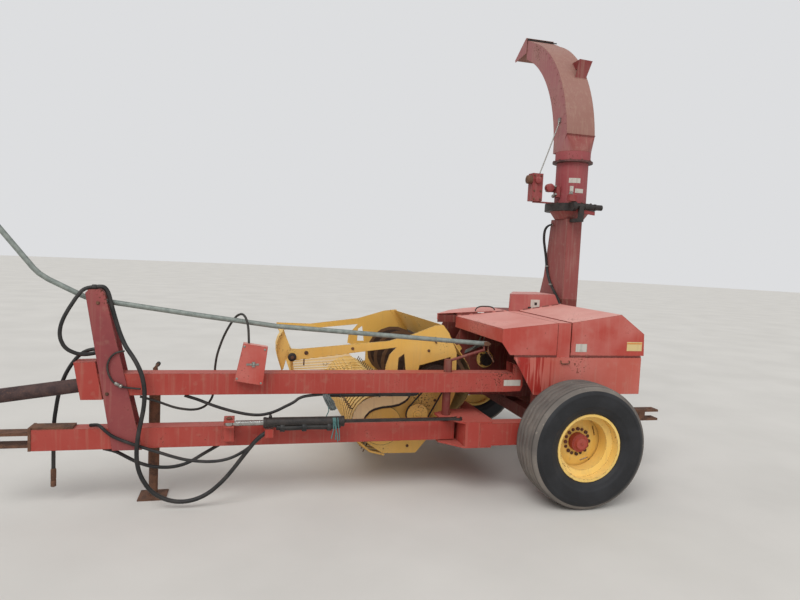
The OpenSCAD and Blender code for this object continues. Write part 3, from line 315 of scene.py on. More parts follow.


# Red enamel on sheet steel: matt, pink on upward faces from sun bleaching and painted light from
# above, and a darker copy as painted shade
BODY = enamel("sun_bleached_and_top_lit_red_enamel", "#B34236", "#DC9A8F", "#6B3A2A", "#B98474",
              grime=0.16)
PALE = enamel("red_enamel_bleached_and_top_lit_pale", "#B34236", "#E0A59A", "#6B3A2A", "#BF9080",
              grime=0.16)
FRAME = enamel("red_frame_enamel", "#A4382D", "#B55E53", "#5E3325", "#A98672", chalk_and_top_light=0.6)
DEEP = enamel("dark_red_enamel_in_shade", "#6E2A24", "#8A4A40", "#4A2A1F", "#8F7460",
              grime=0.45, chalk_and_top_light=0.45)
SPOUT = enamel("spout_enamel_worn_thin", spout_paint, "#A57D72", "#6A4636", "#AD8F7C",
               grime=0.4, chalk_and_top_light=0.4)
SHIELD = enamel("shield_enamel_with_runs", "#BE5A4B", "#D9958C", "#6B3A2A", "#B98E7C",
                drips=(-340, -140, 680, 900))
RED_TUBE = enamel("red_tube_enamel", lambda m, p: height_paint(m, p, 2341, 2359, "#1A1110",
                                                               "#943E42"),
                  "#A8605E", "#5E3325", "#A88074", grime=0.2)
ACTUATOR = enamel("dark_red_box_enamel", "#8C3434", "#A45C58", "#5E3325", "#A88074", grime=0.3)
RISER_RED = enamel("riser_enamel_dulled", "#8A4440", "#A8706A", "#5E3325", "#A48A7C", grime=0.35)
DULL = enamel("top_box_enamel_faded", "#AC5852", "#D49A92", "#6B3A2A", "#B98E7C")
POST = enamel("red_post_enamel", "#85383A", "#B6625A", "#5E3325", "#A98672", chalk_and_top_light=0.4)
# Yellow enamel: paler on upward faces from sun bleaching and painted light from above, and
# scoured to brown steel where the crop has run
YELLOW = enamel("sun_bleached_and_top_lit_yellow_enamel", "#E6B456", "#F0D08A", "#6E4A2E", "#B99A68",
                bare=0.62, grime=0.22)
TROUGH = enamel("trough_enamel_scoured_brown",
                lambda m, p: ring_paint(m, p, AUGER_AXIS, 243, "#4A3529", "#E6B456"), "#F0D08A",
                "#6E4A2E", "#B99A68", bare=0.62, grime=0.22)
# Pale yellow made paler still than the yellow enamel: a painted highlight on the strip, which
# lies in shade
STRIPE_PAINTED_HIGHLIGHT = enamel("pale_yellow_strip_enamel_painted_highlight", "#F4D9A2", "#F8E4BC", "#7A5230", "#B99A68",
                bare=0.75)
RIM = enamel("wheel_yellow_enamel", "#EEC566", "#F0D490", "#7A5230", "#B79B6C", grime=0.3,
             chalk_and_top_light=0.3)
HUB = enamel("hub_red_enamel", lambda m, p: ring_paint(m, p, (0, AXLE_Z), 71, "#A64438",
                                                       "#3A241E"),
             "#B46052", "#4E2C20", "#8F6A58", grime=0.4, chalk_and_top_light=0.2)
# Vinyl stickers whose print has weathered off: the same chalky skin, hardly specked
LABEL = enamel("faded_vinyl_sticker", "#C4BFB5", "#CFCABF", "#ABA498", "#8B8379", bare=0.75,
               grime=0.5)
CREAM = enamel("faded_cream_sticker", "#D8BE86", "#DCC89A", "#B8A06E", "#AD9668", bare=0.75)
BANDED = enamel("faded_orange_vinyl", "#D98A3C", "#DDA066", "#7A6A4C", "#AD9668", bare=0.8)
# Rolled steel and cast iron: matt rust, or a dark skin of grease with a dull shine, which also
# stands as painted shade in holes, a slot and a gap
RUST = iron("rusty_rolled_steel", "#4E3528", "#6F4C38", "#8A6248", 0.05)
GUARD = iron("rusted_guard_tube", "#37292A", "#4F3B38", "#6A4C40", 0.05)
FLIGHT = iron("auger_steel_with_yellow_flights", "#3F2C22", "#5E4434", "#7A5A42", 0.05,
              tone=lambda m, p: ring_paint(m, p, AUGER_AXIS, 192, "#33221C", "#6A4C34"))
TINE = iron("polished_spring_steel_gone_brown", "#4A3A30", "#6B5848", "#85725E", 0.04, 0.6, 0.3)
GREASE_AND_SHADE = iron("greasy_cast_iron_and_painted_shade", "#1B1715", "#2F2825", "#4A4038", 0.035, 0.55)
# Zinc and chrome over steel: pale and metallic, the rod the glossiest of all
ZINC = iron("hot_dip_galvanised_tube", "#7C847F", "#949B95", "#A6A9A0", 0.03, 0.55, 0.5)
BRIGHT = iron("zinc_plated_fitting", "#8B8A84", "#A9A79F", "#6C6259", 0.012, 0.4, 0.8)
CHROME = iron("chromed_rod", "#A8A6A2", "#BDBBB7", "#7E7468", 0.03, 0.28, 1.0)
# Moulded rubber: the tread scuffed grey, the sidewall and the hoses nearly black
TREAD = rubber("tyre_tread_scuffed", "#625C57", "#8A8178", 0.25, 0.6, 0.85, grooves=389)
SIDEWALL = rubber("tyre_sidewall_moulded", "#121317", "#222327", 0.12, 0.75, 0.6)
HOSE = rubber("hydraulic_hose_rubber", "#191919", "#3F3B38", 0.08, 0.6, 0.55)
CORD = rubber("cable_sheath", "#24221F", "#4D463E", 0.05, 0.5, 0.6)
# Fibres: matt all over, in three shades that stand for the strands
TWINE = iron("polypropylene_twine", "#3E6A6B", "#567F7C", "#7C9A90", 0.006, 0.8)
RAG = iron("faded_grey_twine", "#4A5050", "#6A706E", "#8A8E88", 0.01, 0.9)
STRAW = iron("dry_straw", "#8C7650", "#AA9468", "#6C5A3C", 0.006, 0.9)

NODE_FINISH = {
    BODY: ["front_hood", "hood_strap", "centre_hood", "control_box"],
    ACTUATOR: ["flap_actuator"], RISER_RED: ["riser"],
    SHIELD: ["lower_shield"], FLIGHT: ["auger"],
    PALE: ["rear_cover"],
    FRAME: ["frame_rails", "cross_front", "tongue_beam", "tunnel"],
    DEEP: ["cross_rear", "axle", "shield_posts", "feed_housing", "cutter_housing", "gearbox",
           "blower", "tongue_pivot"],
    RED_TUBE: ["spout_tube"], POST: ["hose_post"],
    SPOUT: ["spout_bend", "spout_flap"],
    YELLOW: ["header_plates", "pickup_bands", "windguard", "header_pulley"],
    TROUGH: ["header_trough"], DULL: ["top_box"], GUARD: ["shaft_guard"],
    RIM: ["rim_left", "rim_right"], HUB: ["hub_left", "hub_right"],
    RUST: ["wagon_hitch", "hitch_clevis", "jack"],
    TINE: ["pickup_reel"],
    GREASE_AND_SHADE: ["feed_roll_upper", "feed_roll_lower", "turntable", "spout_drive", "shaft_yoke",
             "swing_barrel"],
    ZINC: ["control_tube"], CHROME: ["swing_rod"],
    SIDEWALL: ["tyre_left", "tyre_right"],
    HOSE: ["hose_lift", "hose_loop", "hose_spare", "hose_swing", "hose_under",
           "control_cable", "hose_header"],
}
for finish, names in NODE_FINISH.items():
    for name in names:
        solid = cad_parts[name]
        solid.data.materials.clear()
        solid.data.materials.append(finish)


# --- Building pieces ---

def piece(name, mesh, finishes, body, soften=0.0):
    """A finished bmesh as a piece that rides on a body."""
    bmesh.ops.recalc_face_normals(mesh, faces=mesh.faces)
    data = bpy.data.meshes.new(name)
    mesh.to_mesh(data)
    mesh.free()
    thing = bpy.data.objects.new(name, data)
    bpy.context.scene.collection.objects.link(thing)
    for finish in finishes if isinstance(finishes, (list, tuple)) else [finishes]:
        data.materials.append(finish)
    if soften:
        rounding = thing.modifiers.new("rounding", "BEVEL")
        rounding.width = soften / 1000
        rounding.segments = 2
        rounding.limit_method = "ANGLE"
    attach(thing, body)
    return thing


def rings_joined(mesh, rings, closed=False, smooth=True, finish=0):
    """Joins rings of points by quads, in a closed loop or with a face over each end."""
    made = [[mesh.verts.new(p) for p in ring] for ring in rings]
    count = len(made[0])
    pairs = list(zip(made, made[1:])) + ([(made[-1], made[0])] if closed else [])
    for first, second in pairs:
        for i in range(count):
            face = mesh.faces.new((first[i], first[(i + 1) % count],
                                   second[(i + 1) % count], second[i]))
            face.smooth = smooth
            face.material_index = finish
    if not closed:
        for ring in (made[0], made[-1]):
            mesh.faces.new(ring).material_index = finish


def across(direction):
    """Two directions square to one and to each other."""
    first = direction.orthogonal().normalized()
    return first, direction.cross(first).normalized()


def turned(mesh, start, direction, profile, steps, finish=0):
    """A lathe-turned form: profile rows are distance along and radius, in mm."""
    direction = Vector(direction).normalized()
    first, second = across(direction)
    rings = []
    for along, radius in profile:
        centre = Vector(start) + direction * along / 1000
        rings.append([centre + (first * math.cos(math.tau * i / steps)
                                + second * math.sin(math.tau * i / steps)) * radius / 1000
                      for i in range(steps)])
    rings_joined(mesh, rings, finish=finish)


def smooth_route(points, per):
    """Catmull-Rom points through a route, per of them for each of its steps."""
    points = [Vector(p) for p in points]
    out = []
    for i in range(len(points) - 1):
        a = points[max(i - 1, 0)]
        b, c = points[i], points[i + 1]
        d = points[min(i + 2, len(points) - 1)]
        for k in range(per):
            t = k / per
            out.append(0.5 * (2 * b + (c - a) * t + (2 * a - 5 * b + 4 * c - d) * t * t
                              + (3 * b - a - 3 * c + d) * t ** 3))
    return out + [points[-1]]


def tube(mesh, route, radius, steps, per=4):
    """A round bar or pipe along a route of machine places, radius in mm."""
    points = smooth_route([at(*p) for p in route], per) if len(route) > 2 \
        else [at(*p) for p in route]
    rings, first = [], None
    for i, point in enumerate(points):
        heading = (points[min(i + 1, len(points) - 1)] - points[max(i - 1, 0)]).normalized()
        if first is None:
            first = across(heading)[0]
        first = (first - heading * first.dot(heading)).normalized()
        second = heading.cross(first)
        rings.append([point + (first * math.cos(math.tau * k / steps)
                               + second * math.sin(math.tau * k / steps)) * radius / 1000
                      for k in range(steps)])
    rings_joined(mesh, rings)


def slab(mesh, outline, depth, finish=0):
    """A flat plate: outline of machine places, and its thickness as a vector in mm."""
    depth = Vector(depth) / 1000
    lower = [mesh.verts.new(at(*p)) for p in outline]
    upper = [mesh.verts.new(at(*p) + depth) for p in outline]
    count = len(outline)
    faces = [mesh.faces.new(lower), mesh.faces.new(upper)]
    for i in range(count):
        faces.append(mesh.faces.new((lower[i], lower[(i + 1) % count],
                                     upper[(i + 1) % count], upper[i])))
    for face in faces:
        face.material_index = finish


def brick(mesh, x, y, z, finish=0):
    """A block between two machine places."""
    slab(mesh, [(x[0], y[0], z[0]), (x[1], y[0], z[0]), (x[1], y[1], z[0]),
                (x[0], y[1], z[0])], (0, 0, z[1] - z[0]), finish)


def bolt(mesh, place, direction, across_flats, finish=0):
    """A hexagon bolt head on its washer, standing on a face at a machine place."""
    head = across_flats / 2 / math.cos(math.pi / 6)
    start = at(*place)
    direction = Vector(direction).normalized()
    turned(mesh, start - direction * 0.0005, direction, [(0, head * 1.25), (2, head * 1.25)],
           16, finish)
    turned(mesh, start, direction, [(1.5, head), (head * 0.75, head), (head * 0.95, head * 0.8)],
           6, finish)


# --- Hoses ---

def hose(name, node, route, diameter, finish=HOSE, body="tongue"):
    """A hose along its route, at its real diameter in mm."""
    curve = bpy.data.curves.new(name, "CURVE")
    curve.dimensions = "3D"
    curve.bevel_depth = diameter / 2000
    curve.bevel_resolution = 3
    curve.use_fill_caps = True
    points = smooth_route([at(*p) for p in route], 2)
    line = curve.splines.new("BEZIER")
    line.bezier_points.add(len(points) - 1)
    line.resolution_u = 4
    for knot, point in zip(line.bezier_points, points):
        knot.co = point
        knot.handle_left_type = knot.handle_right_type = "AUTO"
    curve.materials.append(finish)
    thing = bpy.data.objects.new(name, curve)
    bpy.context.scene.collection.objects.link(thing)
    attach(thing, body)
    if node:
        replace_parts(thing, node)


def crimp(mesh, start, end, radius):
    """A crimped ferrule with its hexagon nut, from one machine place to another."""
    line = at(*end) - at(*start)
    long = line.length * 1000
    turned(mesh, at(*start), line, [(0, radius + 1), (long * 0.08, radius + 4),
                                    (long * 0.55, radius + 4), (long * 0.58, radius + 1.5),
                                    (long * 0.62, radius + 1.5)], 20)
    turned(mesh, at(*start), line, [(long * 0.62, radius + 6), (long * 0.92, radius + 6),
                                    (long * 0.97, radius + 3)], 6)


mesh = bmesh.new()
crimp(mesh, (-3140, 430, 205), (-3140, 430, 95), 11)
spare_end = piece("spare_hose_coupler", mesh, RUST, "tongue")
hose("lift_hose", "hose_lift", LIFT, 25)
hose("loop_hose", "hose_loop", LOOP, 22)
hose("spare_hose", "hose_spare", SPARE, 22)
hose("swing_hose", "hose_swing", SWING, 18)
hose("under_hose", "hose_under", UNDER, 20)
hose("control_cable_cover", "control_cable", CABLE, 14, CORD)
hose("header_hose", "hose_header", HEADER, 18)


# --- Tyres: straight ribs, worn, with a rounded shoulder and mould rings on the sidewall ---

# Beyond this radius the casing has the tread's rubber
TREAD_FROM = 366


def tyre_profile():
    """Axial place and radius of the tyre's outline in mm, from bead to crown to bead."""
    half = [(112, 217), (117, 224), (121, 232), (125, 236), (127, 243), (134, 262), (137, 266),
            (137.5, 272), (140, 288), (140.8, 304), (140.5, 322), (139, 336), (140, 340),
            (138.5, 345), (133, 355), (128, 364), (123, 369), (121, 374), (117, 381), (110, 386),
            (98, 389), (78, 391.5), (76, 391), (75, 381), (63, 381), (62, 391.2),
            (60, 392.2), (32, 394.3), (30, 393.6), (29, 382.5), (17, 382.5), (16, 393.8),
            (14, 394.8)]
    return half + [(-a, r) for a, r in reversed(half)]


def tyre(name, node, body, y_mid, outward):
    """A tyre round its wheel's axis, its middle plane at y_mid."""
    steps = 180
    mesh = bmesh.new()
    rings = []
    profile = tyre_profile()
    for i in range(steps):
        angle = math.tau * i / steps
        ring = []
        for axial, radius in profile:
            # The grooves' sides zigzag by 2 mm, five steps a bend, as wear leaves them
            if 381 < radius < 394 and abs(axial) < 80:
                axial += 1.6 * (1 if (i // 5) % 2 else -1)
            ring.append(at(math.cos(angle) * radius, y_mid + outward * axial,
                           AXLE_Z + math.sin(angle) * radius))
        rings.append(ring)
    rings_joined(mesh, rings, closed=True)
    for i, face in enumerate(mesh.faces):
        k = i % len(profile)
        if k == len(profile) - 1:
            # The bead's seat, down to the rim, closes the casing
            face.smooth = False
        elif profile[k][1] + profile[k + 1][1] > 2 * TREAD_FROM:
            face.material_index = 1
    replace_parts(piece(name, mesh, [SIDEWALL, TREAD], body), node)


tyre("left_tyre", "tyre_left", "left_wheel", 0, -1)
tyre("right_tyre", "tyre_right", "right_wheel", RIGHT_Y, 1)


def wheel_trim(name, body, y_mid, outward):
    """Eight stud ends, the hub cap's ring, the grease nipple and the valve stem."""
    mesh = bmesh.new()
    face = y_mid - outward * DISC_INSIDE
    for k in range(8):
        angle = math.tau * (k + 0.5) / 8
        x, z = math.cos(angle) * 82, AXLE_Z + math.sin(angle) * 82
        turned(mesh, at(x, face + outward * 8, z), (0, outward, 0),
               [(0, 11), (2.5, 11), (2.6, 7), (8, 6)], 12)
    turned(mesh, at(0, face + outward * 52.3, AXLE_Z), (0, outward, 0),
           [(0, 50), (3, 50), (4, 47)], 36)
    turned(mesh, at(0, face + outward * 72, AXLE_Z), (0, outward, 0),
           [(0, 7), (5, 7), (6, 4), (13, 4), (15, 2)], 12)
    piece(name + "_hub_trim", mesh, HUB, body)
    mesh = bmesh.new()
    x, z = 150 * math.cos(2.2), AXLE_Z + 150 * math.sin(2.2)
    turned(mesh, at(x, face - outward * 2, z), (-0.2, outward, 0.2),
           [(0, 7), (12, 7), (13, 4), (46, 4), (46.5, 5), (58, 5)], 12)
    piece(name + "_valve", mesh, HOSE, body)


wheel_trim("left", "left_wheel", 0, -1)
wheel_trim("right", "right_wheel", RIGHT_Y, 1)


# --- Floor and light ---

floor_mesh = bpy.data.meshes.new("floor")
bmesh_floor = bmesh.new()
bmesh.ops.create_circle(bmesh_floor, cap_ends=True, segments=96, radius=60)
bmesh_floor.to_mesh(floor_mesh)
bmesh_floor.free()
floor = bpy.data.objects.new("floor", floor_mesh)
bpy.context.scene.collection.objects.link(floor)
concrete, shader, place = started("smooth_pale_screed")
cloudy = add(concrete, "MapRange", {0: grain(concrete, place, 0.9, 4), 1: 0.35, 2: 0.65})
tone = coats(concrete, linear("#CFCCC6"), [(cloudy, linear("#D6D3CD"))])
feed(concrete, shader, {"Base Color": tone, "Roughness": 0.9})
floor_mesh.materials.append(concrete)

world = bpy.data.worlds.new("studio")
bpy.context.scene.world = world
world.use_nodes = True
# What lights the machine, and the backdrop that the camera sees
AMBIENT, BACKDROP = 0.62, 0.80
rays = add(world, "LightPath", {}).node.outputs
seen = add(world, "Math", {0: rays["Is Camera Ray"], 1: rays["Is Transmission Ray"]},
           operation="MAXIMUM")
strength = add(world, "MapRange", {"Value": seen, "To Min": AMBIENT, "To Max": BACKDROP})
feed(world, world.node_tree.nodes["Background"], {"Color": linear("#F4F5F7"),
                                                  "Strength": strength})


def sun(name, direction, strength, spread):
    """A wide soft lamp that shines along a direction, its spread in degrees."""
    lamp = bpy.data.lights.new(name, "SUN")
    lamp.energy = strength
    lamp.angle = math.radians(spread)
    thing = bpy.data.objects.new(name, lamp)
    thing.rotation_mode = "QUATERNION"
    thing.rotation_quaternion = Vector(direction).to_track_quat("-Z", "Y")
    bpy.context.scene.collection.objects.link(thing)


sun("key_light", (0.55, 0.75, -1.0), 1.55, 35)
sun("fill_light", (-0.6, 0.6, -0.35), 0.35, 60)
bpy.context.scene.view_settings.view_transform = "Standard"


# --- Sheet metal: crease strip, latch loop, blank stickers, tunnel's end, lid hinges ---

# Dark strips along the crease, which the lids close on: painted shade for the dark line under the
# lids' edge
mesh = bmesh.new()
for x in ((-383, -84), (18, 556)):
    brick(mesh, x, (219.5, 223.2), (908, 918.6))
piece("crease_painted_shade_strip", mesh, DEEP, "chassis", 1)
# Latch loop on the strap
mesh = bmesh.new()
tube(mesh, [(-50, 221, 884), (-50, 213, 880), (-48, 211, 868), (-20, 211, 864), (8, 211, 868),
            (10, 213, 880), (10, 221, 884)], 3.5, 8)
piece("strap_latch_loop", mesh, RUST, "chassis")


def sticker(name, body, x, z, y, face, band=None):
    """A blank vinyl sticker on a face that looks to the left, 1 mm proud."""
    mesh = bmesh.new()
    brick(mesh, x, (y - 1, y + 0.5), z)
    if band:
        brick(mesh, (x[0] + 2, x[1] - 2), (y - 1.6, y - 0.9), band, 1)
    piece(name, mesh, [face, BANDED], body)


sticker("blank_sticker_grey", "rear_cover_lid", (54, 137), (944, 998), 220, LABEL)
sticker("blank_sticker_cream", "rear_cover_lid", (441, 558), (953, 1015), 220, CREAM,
        (1000, 1008))
# The tunnel's rear end, from its solid back to x -275, and the sticker across it
mesh = bmesh.new()
for y in (300, 407):
    slab(mesh, [(-351, y, 662), (-290, y, 664), (-275, y, 700), (-280, y, 800),
                (-320, y, 840), (-351, y, 850)], (0, 3, 0))
slab(mesh, [(-351, 300.5, 846), (-351, 409.5, 846), (-320, 409.5, 838), (-320, 300.5, 838)],
     (0, 0, 2.5))
slab(mesh, [(-320, 300.5, 838), (-320, 409.5, 838), (-280, 409.5, 799), (-280, 300.5, 799)],
     (1.5, 0, 2))
piece("tunnel_rear_end", mesh, FRAME, "tongue", 0.6)
sticker("blank_sticker_tunnel", "tongue", (-412, -292), (700, 740), 300, LABEL)
# Sheet that closes the slit under the centre hood's near edge
mesh = bmesh.new()
brick(mesh, (-652, -480), (1056, 1059), (1035, 1094))
slab(mesh, [(-500, 1047, 1068), (-500, 1047, 1108), (-330, 1047, 1124), (-330, 1047, 1095)],
     (0, 3.8, 0))
piece("centre_hood_apron", mesh, DEEP, "chassis", 0.8)


def hinge_knuckles(name, body, first, last, count):
    """Short hinge barrels between the lid and its carrier, along the roof's seam."""
    mesh = bmesh.new()
    first, last = Vector(first), Vector(last)
    step = (last - first) / count
    for k in range(count):
        start = first + step * (k + 0.15)
        turned(mesh, at(*start), step, [(0, 4), (0.4, 7), (step.length * 0.7 - 0.4, 7),
                                        (step.length * 0.7, 4)], 12)
    piece(name, mesh, DEEP, body)


hinge_knuckles("front_lid_knuckles", "front_hood_lid", (-480, 1045, 1089), (-100, 1045, 1133), 4)
hinge_knuckles("rear_lid_knuckles", "rear_cover_lid", (40, 1045, 1143), (370, 1045, 1197), 4)

# Top box: a pale blank patch with its latch slot drawn dark as painted shade
mesh = bmesh.new()
brick(mesh, (117, 196), (1048.6, 1050.6), (1158, 1230))
brick(mesh, (96, 124), (1047.5, 1050.8), (1150, 1172), 1)
brick(mesh, (150, 172), (1046.5, 1049), (1186, 1208), 1)
piece("top_box_blank_patch", mesh, [LABEL, GREASE_AND_SHADE], "chassis", 1)

# Bent rod handle on the centre hood
mesh = bmesh.new()
tube(mesh, [(-330, 1100, 1112), (-322, 1101, 1142), (-290, 1104, 1158), (-240, 1108, 1161),
            (-196, 1111, 1158), (-168, 1113, 1146), (-160, 1115, 1128)], 5, 8)
piece("roof_handle", mesh, CORD, "chassis")


# --- Under the front hood: feed bearing, its lever and the control tube's clevis ---

mesh = bmesh.new()
turned(mesh, at(-290, 950, 768), (0, -1, 0), [(0, 66), (10, 66), (12, 58), (14, 36), (34, 34),
                                              (36, 26), (44, 24), (46, 10)], 40)
for k in range(4):
    angle = math.tau * (k + 0.5) / 4
    bolt(mesh, (-290 + 49 * math.cos(angle), 937, 768 + 49 * math.sin(angle)), (0, -1, 0), 14, 1)
piece("feed_bearing", mesh, [RIM, RUST], "chassis", 1)
mesh = bmesh.new()
slab(mesh, [(-458, 950, 812), (-452, 950, 836), (-330, 950, 892), (-322, 950, 868)], (0, -9, 0))
tube(mesh, [(-410, 942, 838), (-380, 930, 870), (-345, 930, 925), (-330, 940, 960)], 6, 10)
tube(mesh, [(-300, 936, 962), (-318, 928, 900), (-312, 926, 850), (-280, 934, 812)], 5, 10)
piece("feed_lever", mesh, ZINC, "chassis", 1)
mesh = bmesh.new()
for y in (331, 366):
    slab(mesh, [(-552, y, 989), (-520, y, 989), (-506, y, 976), (-516, y, 963), (-552, y, 963)],
         (0, 5, 0))
turned(mesh, at(-516, 327, 975), (0, 1, 0), [(0, 9), (6, 9), (6.5, 6), (42, 6), (42.5, 9),
                                             (48, 9)], 16)
tube(mesh, [(-516, 351, 968), (-512, 351, 915), (-488, 352, 880), (-470, 352, 850)], 5, 8)
piece("control_tube_clevis", mesh, RUST, "tongue", 1)


# --- Wheels: dark stud holes round the hub and three small holes in the disc ---

def disc_marks(name, body, y_mid, outward):
    """Holes in the rim's disc, drawn as thin dark discs on its face: painted shade where the
    holes are.
    """
    mesh = bmesh.new()
    y = y_mid - outward * DISC_INSIDE - outward * 0.5
    for k in range(8):
        angle = math.tau * k / 8
        turned(mesh, at(104 * math.cos(angle), y, AXLE_Z + 104 * math.sin(angle)),
               (0, outward, 0), [(0, 8), (1.6, 8), (1.8, 6)], 14)
    for angle in (1.9, 4.3, 5.4):
        turned(mesh, at(165 * math.cos(angle), y, AXLE_Z + 165 * math.sin(angle)),
               (0, outward, 0), [(0, 6), (1.4, 6), (1.5, 4)], 12)
    piece(name + "_disc_marks", mesh, GREASE_AND_SHADE, body)


disc_marks("left", "left_wheel", 0, -1)
disc_marks("right", "right_wheel", RIGHT_Y, 1)


# --- Spout: rivets, hinge strip, welds, bolts, flap rod, motors, labels, turning gear ---

def outer_wall(x, share):
    """A machine place on the bend's outer wall, a share of the way up the bend."""
    end = math.atan2((BEND_R + DUCT_TIP) * math.sin(BEND_TURN),
                     (BEND_R + DUCT_TIP) * math.cos(BEND_TURN) - OUTER_C)
    turn = end * share
    return (x, BEND_Y - OUTER_C - OUTER_R * math.cos(turn), BEND_Z + OUTER_R * math.sin(turn))


mesh = bmesh.new()
for wall_x, side in ((353, -1), (603, 1)):
    for k in range(14):
        x, y, z = outer_wall(wall_x, 0.16 + 0.06 * k)
        turned(mesh, at(x, y + 22, z - 8), (side, 0, 0), [(0, 6), (2.5, 5.6), (4, 3)], 10)
piece("spout_rivets", mesh, SPOUT, "spout")

# Rubber strip along the duct's top, over the hinge 14 mm in from the flap's left end
hinge_y = (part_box("spout_flap")[0][1] - ORIGIN.y) * 1000 + 14
mesh = bmesh.new()
slab(mesh, [(349, hinge_y + 10, 3561), (622, hinge_y + 10, 3561), (622, hinge_y - 58, 3535),
            (349, hinge_y - 58, 3535)], (0, -3, 9))
piece("spout_hinge_strip", mesh, HOSE, "spout", 1)
# Weld seams where the round foot meets the square duct
mesh = bmesh.new()
tube(mesh, [(352.5, 1072, 2560), (352.5, 1110, 2500), (352.5, 1150, 2455)], 3, 6, 4)
tube(mesh, [(352.5, 1070, 2560), (420, 1069, 2560), (540, 1069, 2560), (603.5, 1070, 2560)],
     3, 6, 2)
piece("spout_foot_welds", mesh, DEEP, "spout")

for name, count, first, radius, z, across_flats in (("flange_bolts", 10, 0.5, 149, 2357.2, 13),
                                                    ("turntable_bolts", 12, 0, 188, 2010.5, 14)):
    mesh = bmesh.new()
    for k in range(count):
        angle = math.tau * (k + first) / count
        bolt(mesh, (SPOUT_X + radius * math.cos(angle), SPOUT_Y + radius * math.sin(angle), z),
             (0, 0, 1), across_flats)
    piece(name, mesh, RUST, "spout")

# Thin rod from the actuator up the near side to the flap's lever
mesh = bmesh.new()
tube(mesh, [(188, 1178, 2239), (214, 1179, 2310), (260, 1180, 2440), (301, 1182, 2559),
            (332, 1190, 2640), (344, 1200, 2688)], 5, 8)
brick(mesh, (341, 353.5), (1184, 1216), (2670, 2706))
piece("flap_rod", mesh, BRIGHT, "spout")

# Motors of the actuator and the turning gear: round cans with silver unions
mesh = bmesh.new()
turned(mesh, at(116, 1164, 2188), (-1, 0, 0), [(0, 30), (4, 34), (38, 34), (42, 29), (44, 10)],
       30, 1)
turned(mesh, at(160, 1140.5, 2185), (0, -1, 0), [(0, 28), (16, 28), (20, 20), (22, 8)], 24)
for z in (2035, 2100, 2222):
    bolt(mesh, (132, 1140, z), (0, -1, 0), 12, 1)
    bolt(mesh, (188, 1140, z), (0, -1, 0), 12, 1)
piece("actuator_motor", mesh, [ACTUATOR, RUST], "spout", 1)
mesh = bmesh.new()
brick(mesh, (258, 353), (1166, 1194), (2104, 2132))
brick(mesh, (318, 353), (1120, 1170), (2060, 2150))
turned(mesh, at(268, 1170, 2132), (0, -1, 0), [(0, 30), (4, 34), (44, 34), (48, 28), (50, 9)],
       30)
for x, z in ((306, 2152), (312, 2088)):
    turned(mesh, at(x, 1166, z - 20), (0, -0.95, 0.3), [(0, 15), (30, 15), (31, 11), (52, 11),
                                                        (54, 7)], 6, 1)
piece("turning_motor", mesh, [ACTUATOR, BRIGHT], "spout", 1)
# Three blank labels round the tube: first and last angle from the tube's left face, heights
mesh = bmesh.new()
for first, last, low_z, high_z in ((-38, 4, 2176, 2215), (-33, -20, 2102, 2151),
                                   (-14, 19, 2098, 2132)):
    rings = []
    for k in range(9):
        turn = math.radians(first + (last - first) * k / 8)
        rings.append([at(SPOUT_X + r * math.sin(turn), SPOUT_Y - r * math.cos(turn), z)
                      for r, z in ((126.4, low_z), (128, low_z), (128, high_z),
                                   (126.4, high_z))])
    rings_joined(mesh, rings, smooth=False)
piece("blank_tube_labels", mesh, LABEL, "spout")

# Turning gear: bracket plates on the riser, stepped shaft caps and silver unions
mesh = bmesh.new()
brick(mesh, (330, 396), (930, 970), (2017, 2068))
slab(mesh, [(396, 946, 1935), (572, 946, 1918), (572, 946, 1946), (404, 946, 1964)], (0, 10, 0))
piece("turning_gear_plates", mesh, ACTUATOR, "chassis", 2)
mesh = bmesh.new()
for x in (398, 472, 560):
    turned(mesh, at(x, 950, 1980), (1, 0, 0), [(0, 23), (2, 26), (16, 26), (18, 23)], 24)
for y in (938, 960):
    turned(mesh, at(352, y, 2069), (0, 0, 1), [(0, 11), (9, 11), (10, 8), (26, 8), (27, 5)], 6, 1)
piece("turning_gear_fittings", mesh, [GREASE_AND_SHADE, BRIGHT], "chassis", 0.6)

# Two hoses from glands under the turntable, across the riser's face and down to the chopper
RISER = [(399, 1300, 1850), (378, 1301, 1846), (357, 1304, 1832), (345, 1309, 1812),
         (341, 1315, 1788), (343, 1324, 1756), (352, 1336, 1710), (368, 1346, 1654),
         (384, 1348, 1580), (391, 1334, 1490), (392, 1300, 1415),
         (392, 1245, 1348), (392, 1180, 1294), (391, 1118, 1248), (389, 1078, 1206),
         (388, 1062, 1168), (388, 1060, 1132)]
hose("riser_hose_a", None, RISER, 13, HOSE, "chassis")
hose("riser_hose_b", None, [(x, y + 18, z) for x, y, z in RISER[:-2]]
     + [(388, 1079, 1166), (388, 1078, 1132)], 13, HOSE, "chassis")
mesh = bmesh.new()
for y in (1300, 1318):
    turned(mesh, at(400, y, 1850), (-1, 0, 0), [(0, 11), (5, 11), (6, 9), (11, 8)], 6)
for x, y, z in ((392, 1257, 1350), (392, 1342, 1500)):
    brick(mesh, (384, 400), (y - 22, y + 22), (z - 6, z + 6))
piece("riser_hose_clips", mesh, BRIGHT, "chassis", 1)


# --- Header: belt, pulley, corner sheet, stripper strip, disc face, pins, straw ---

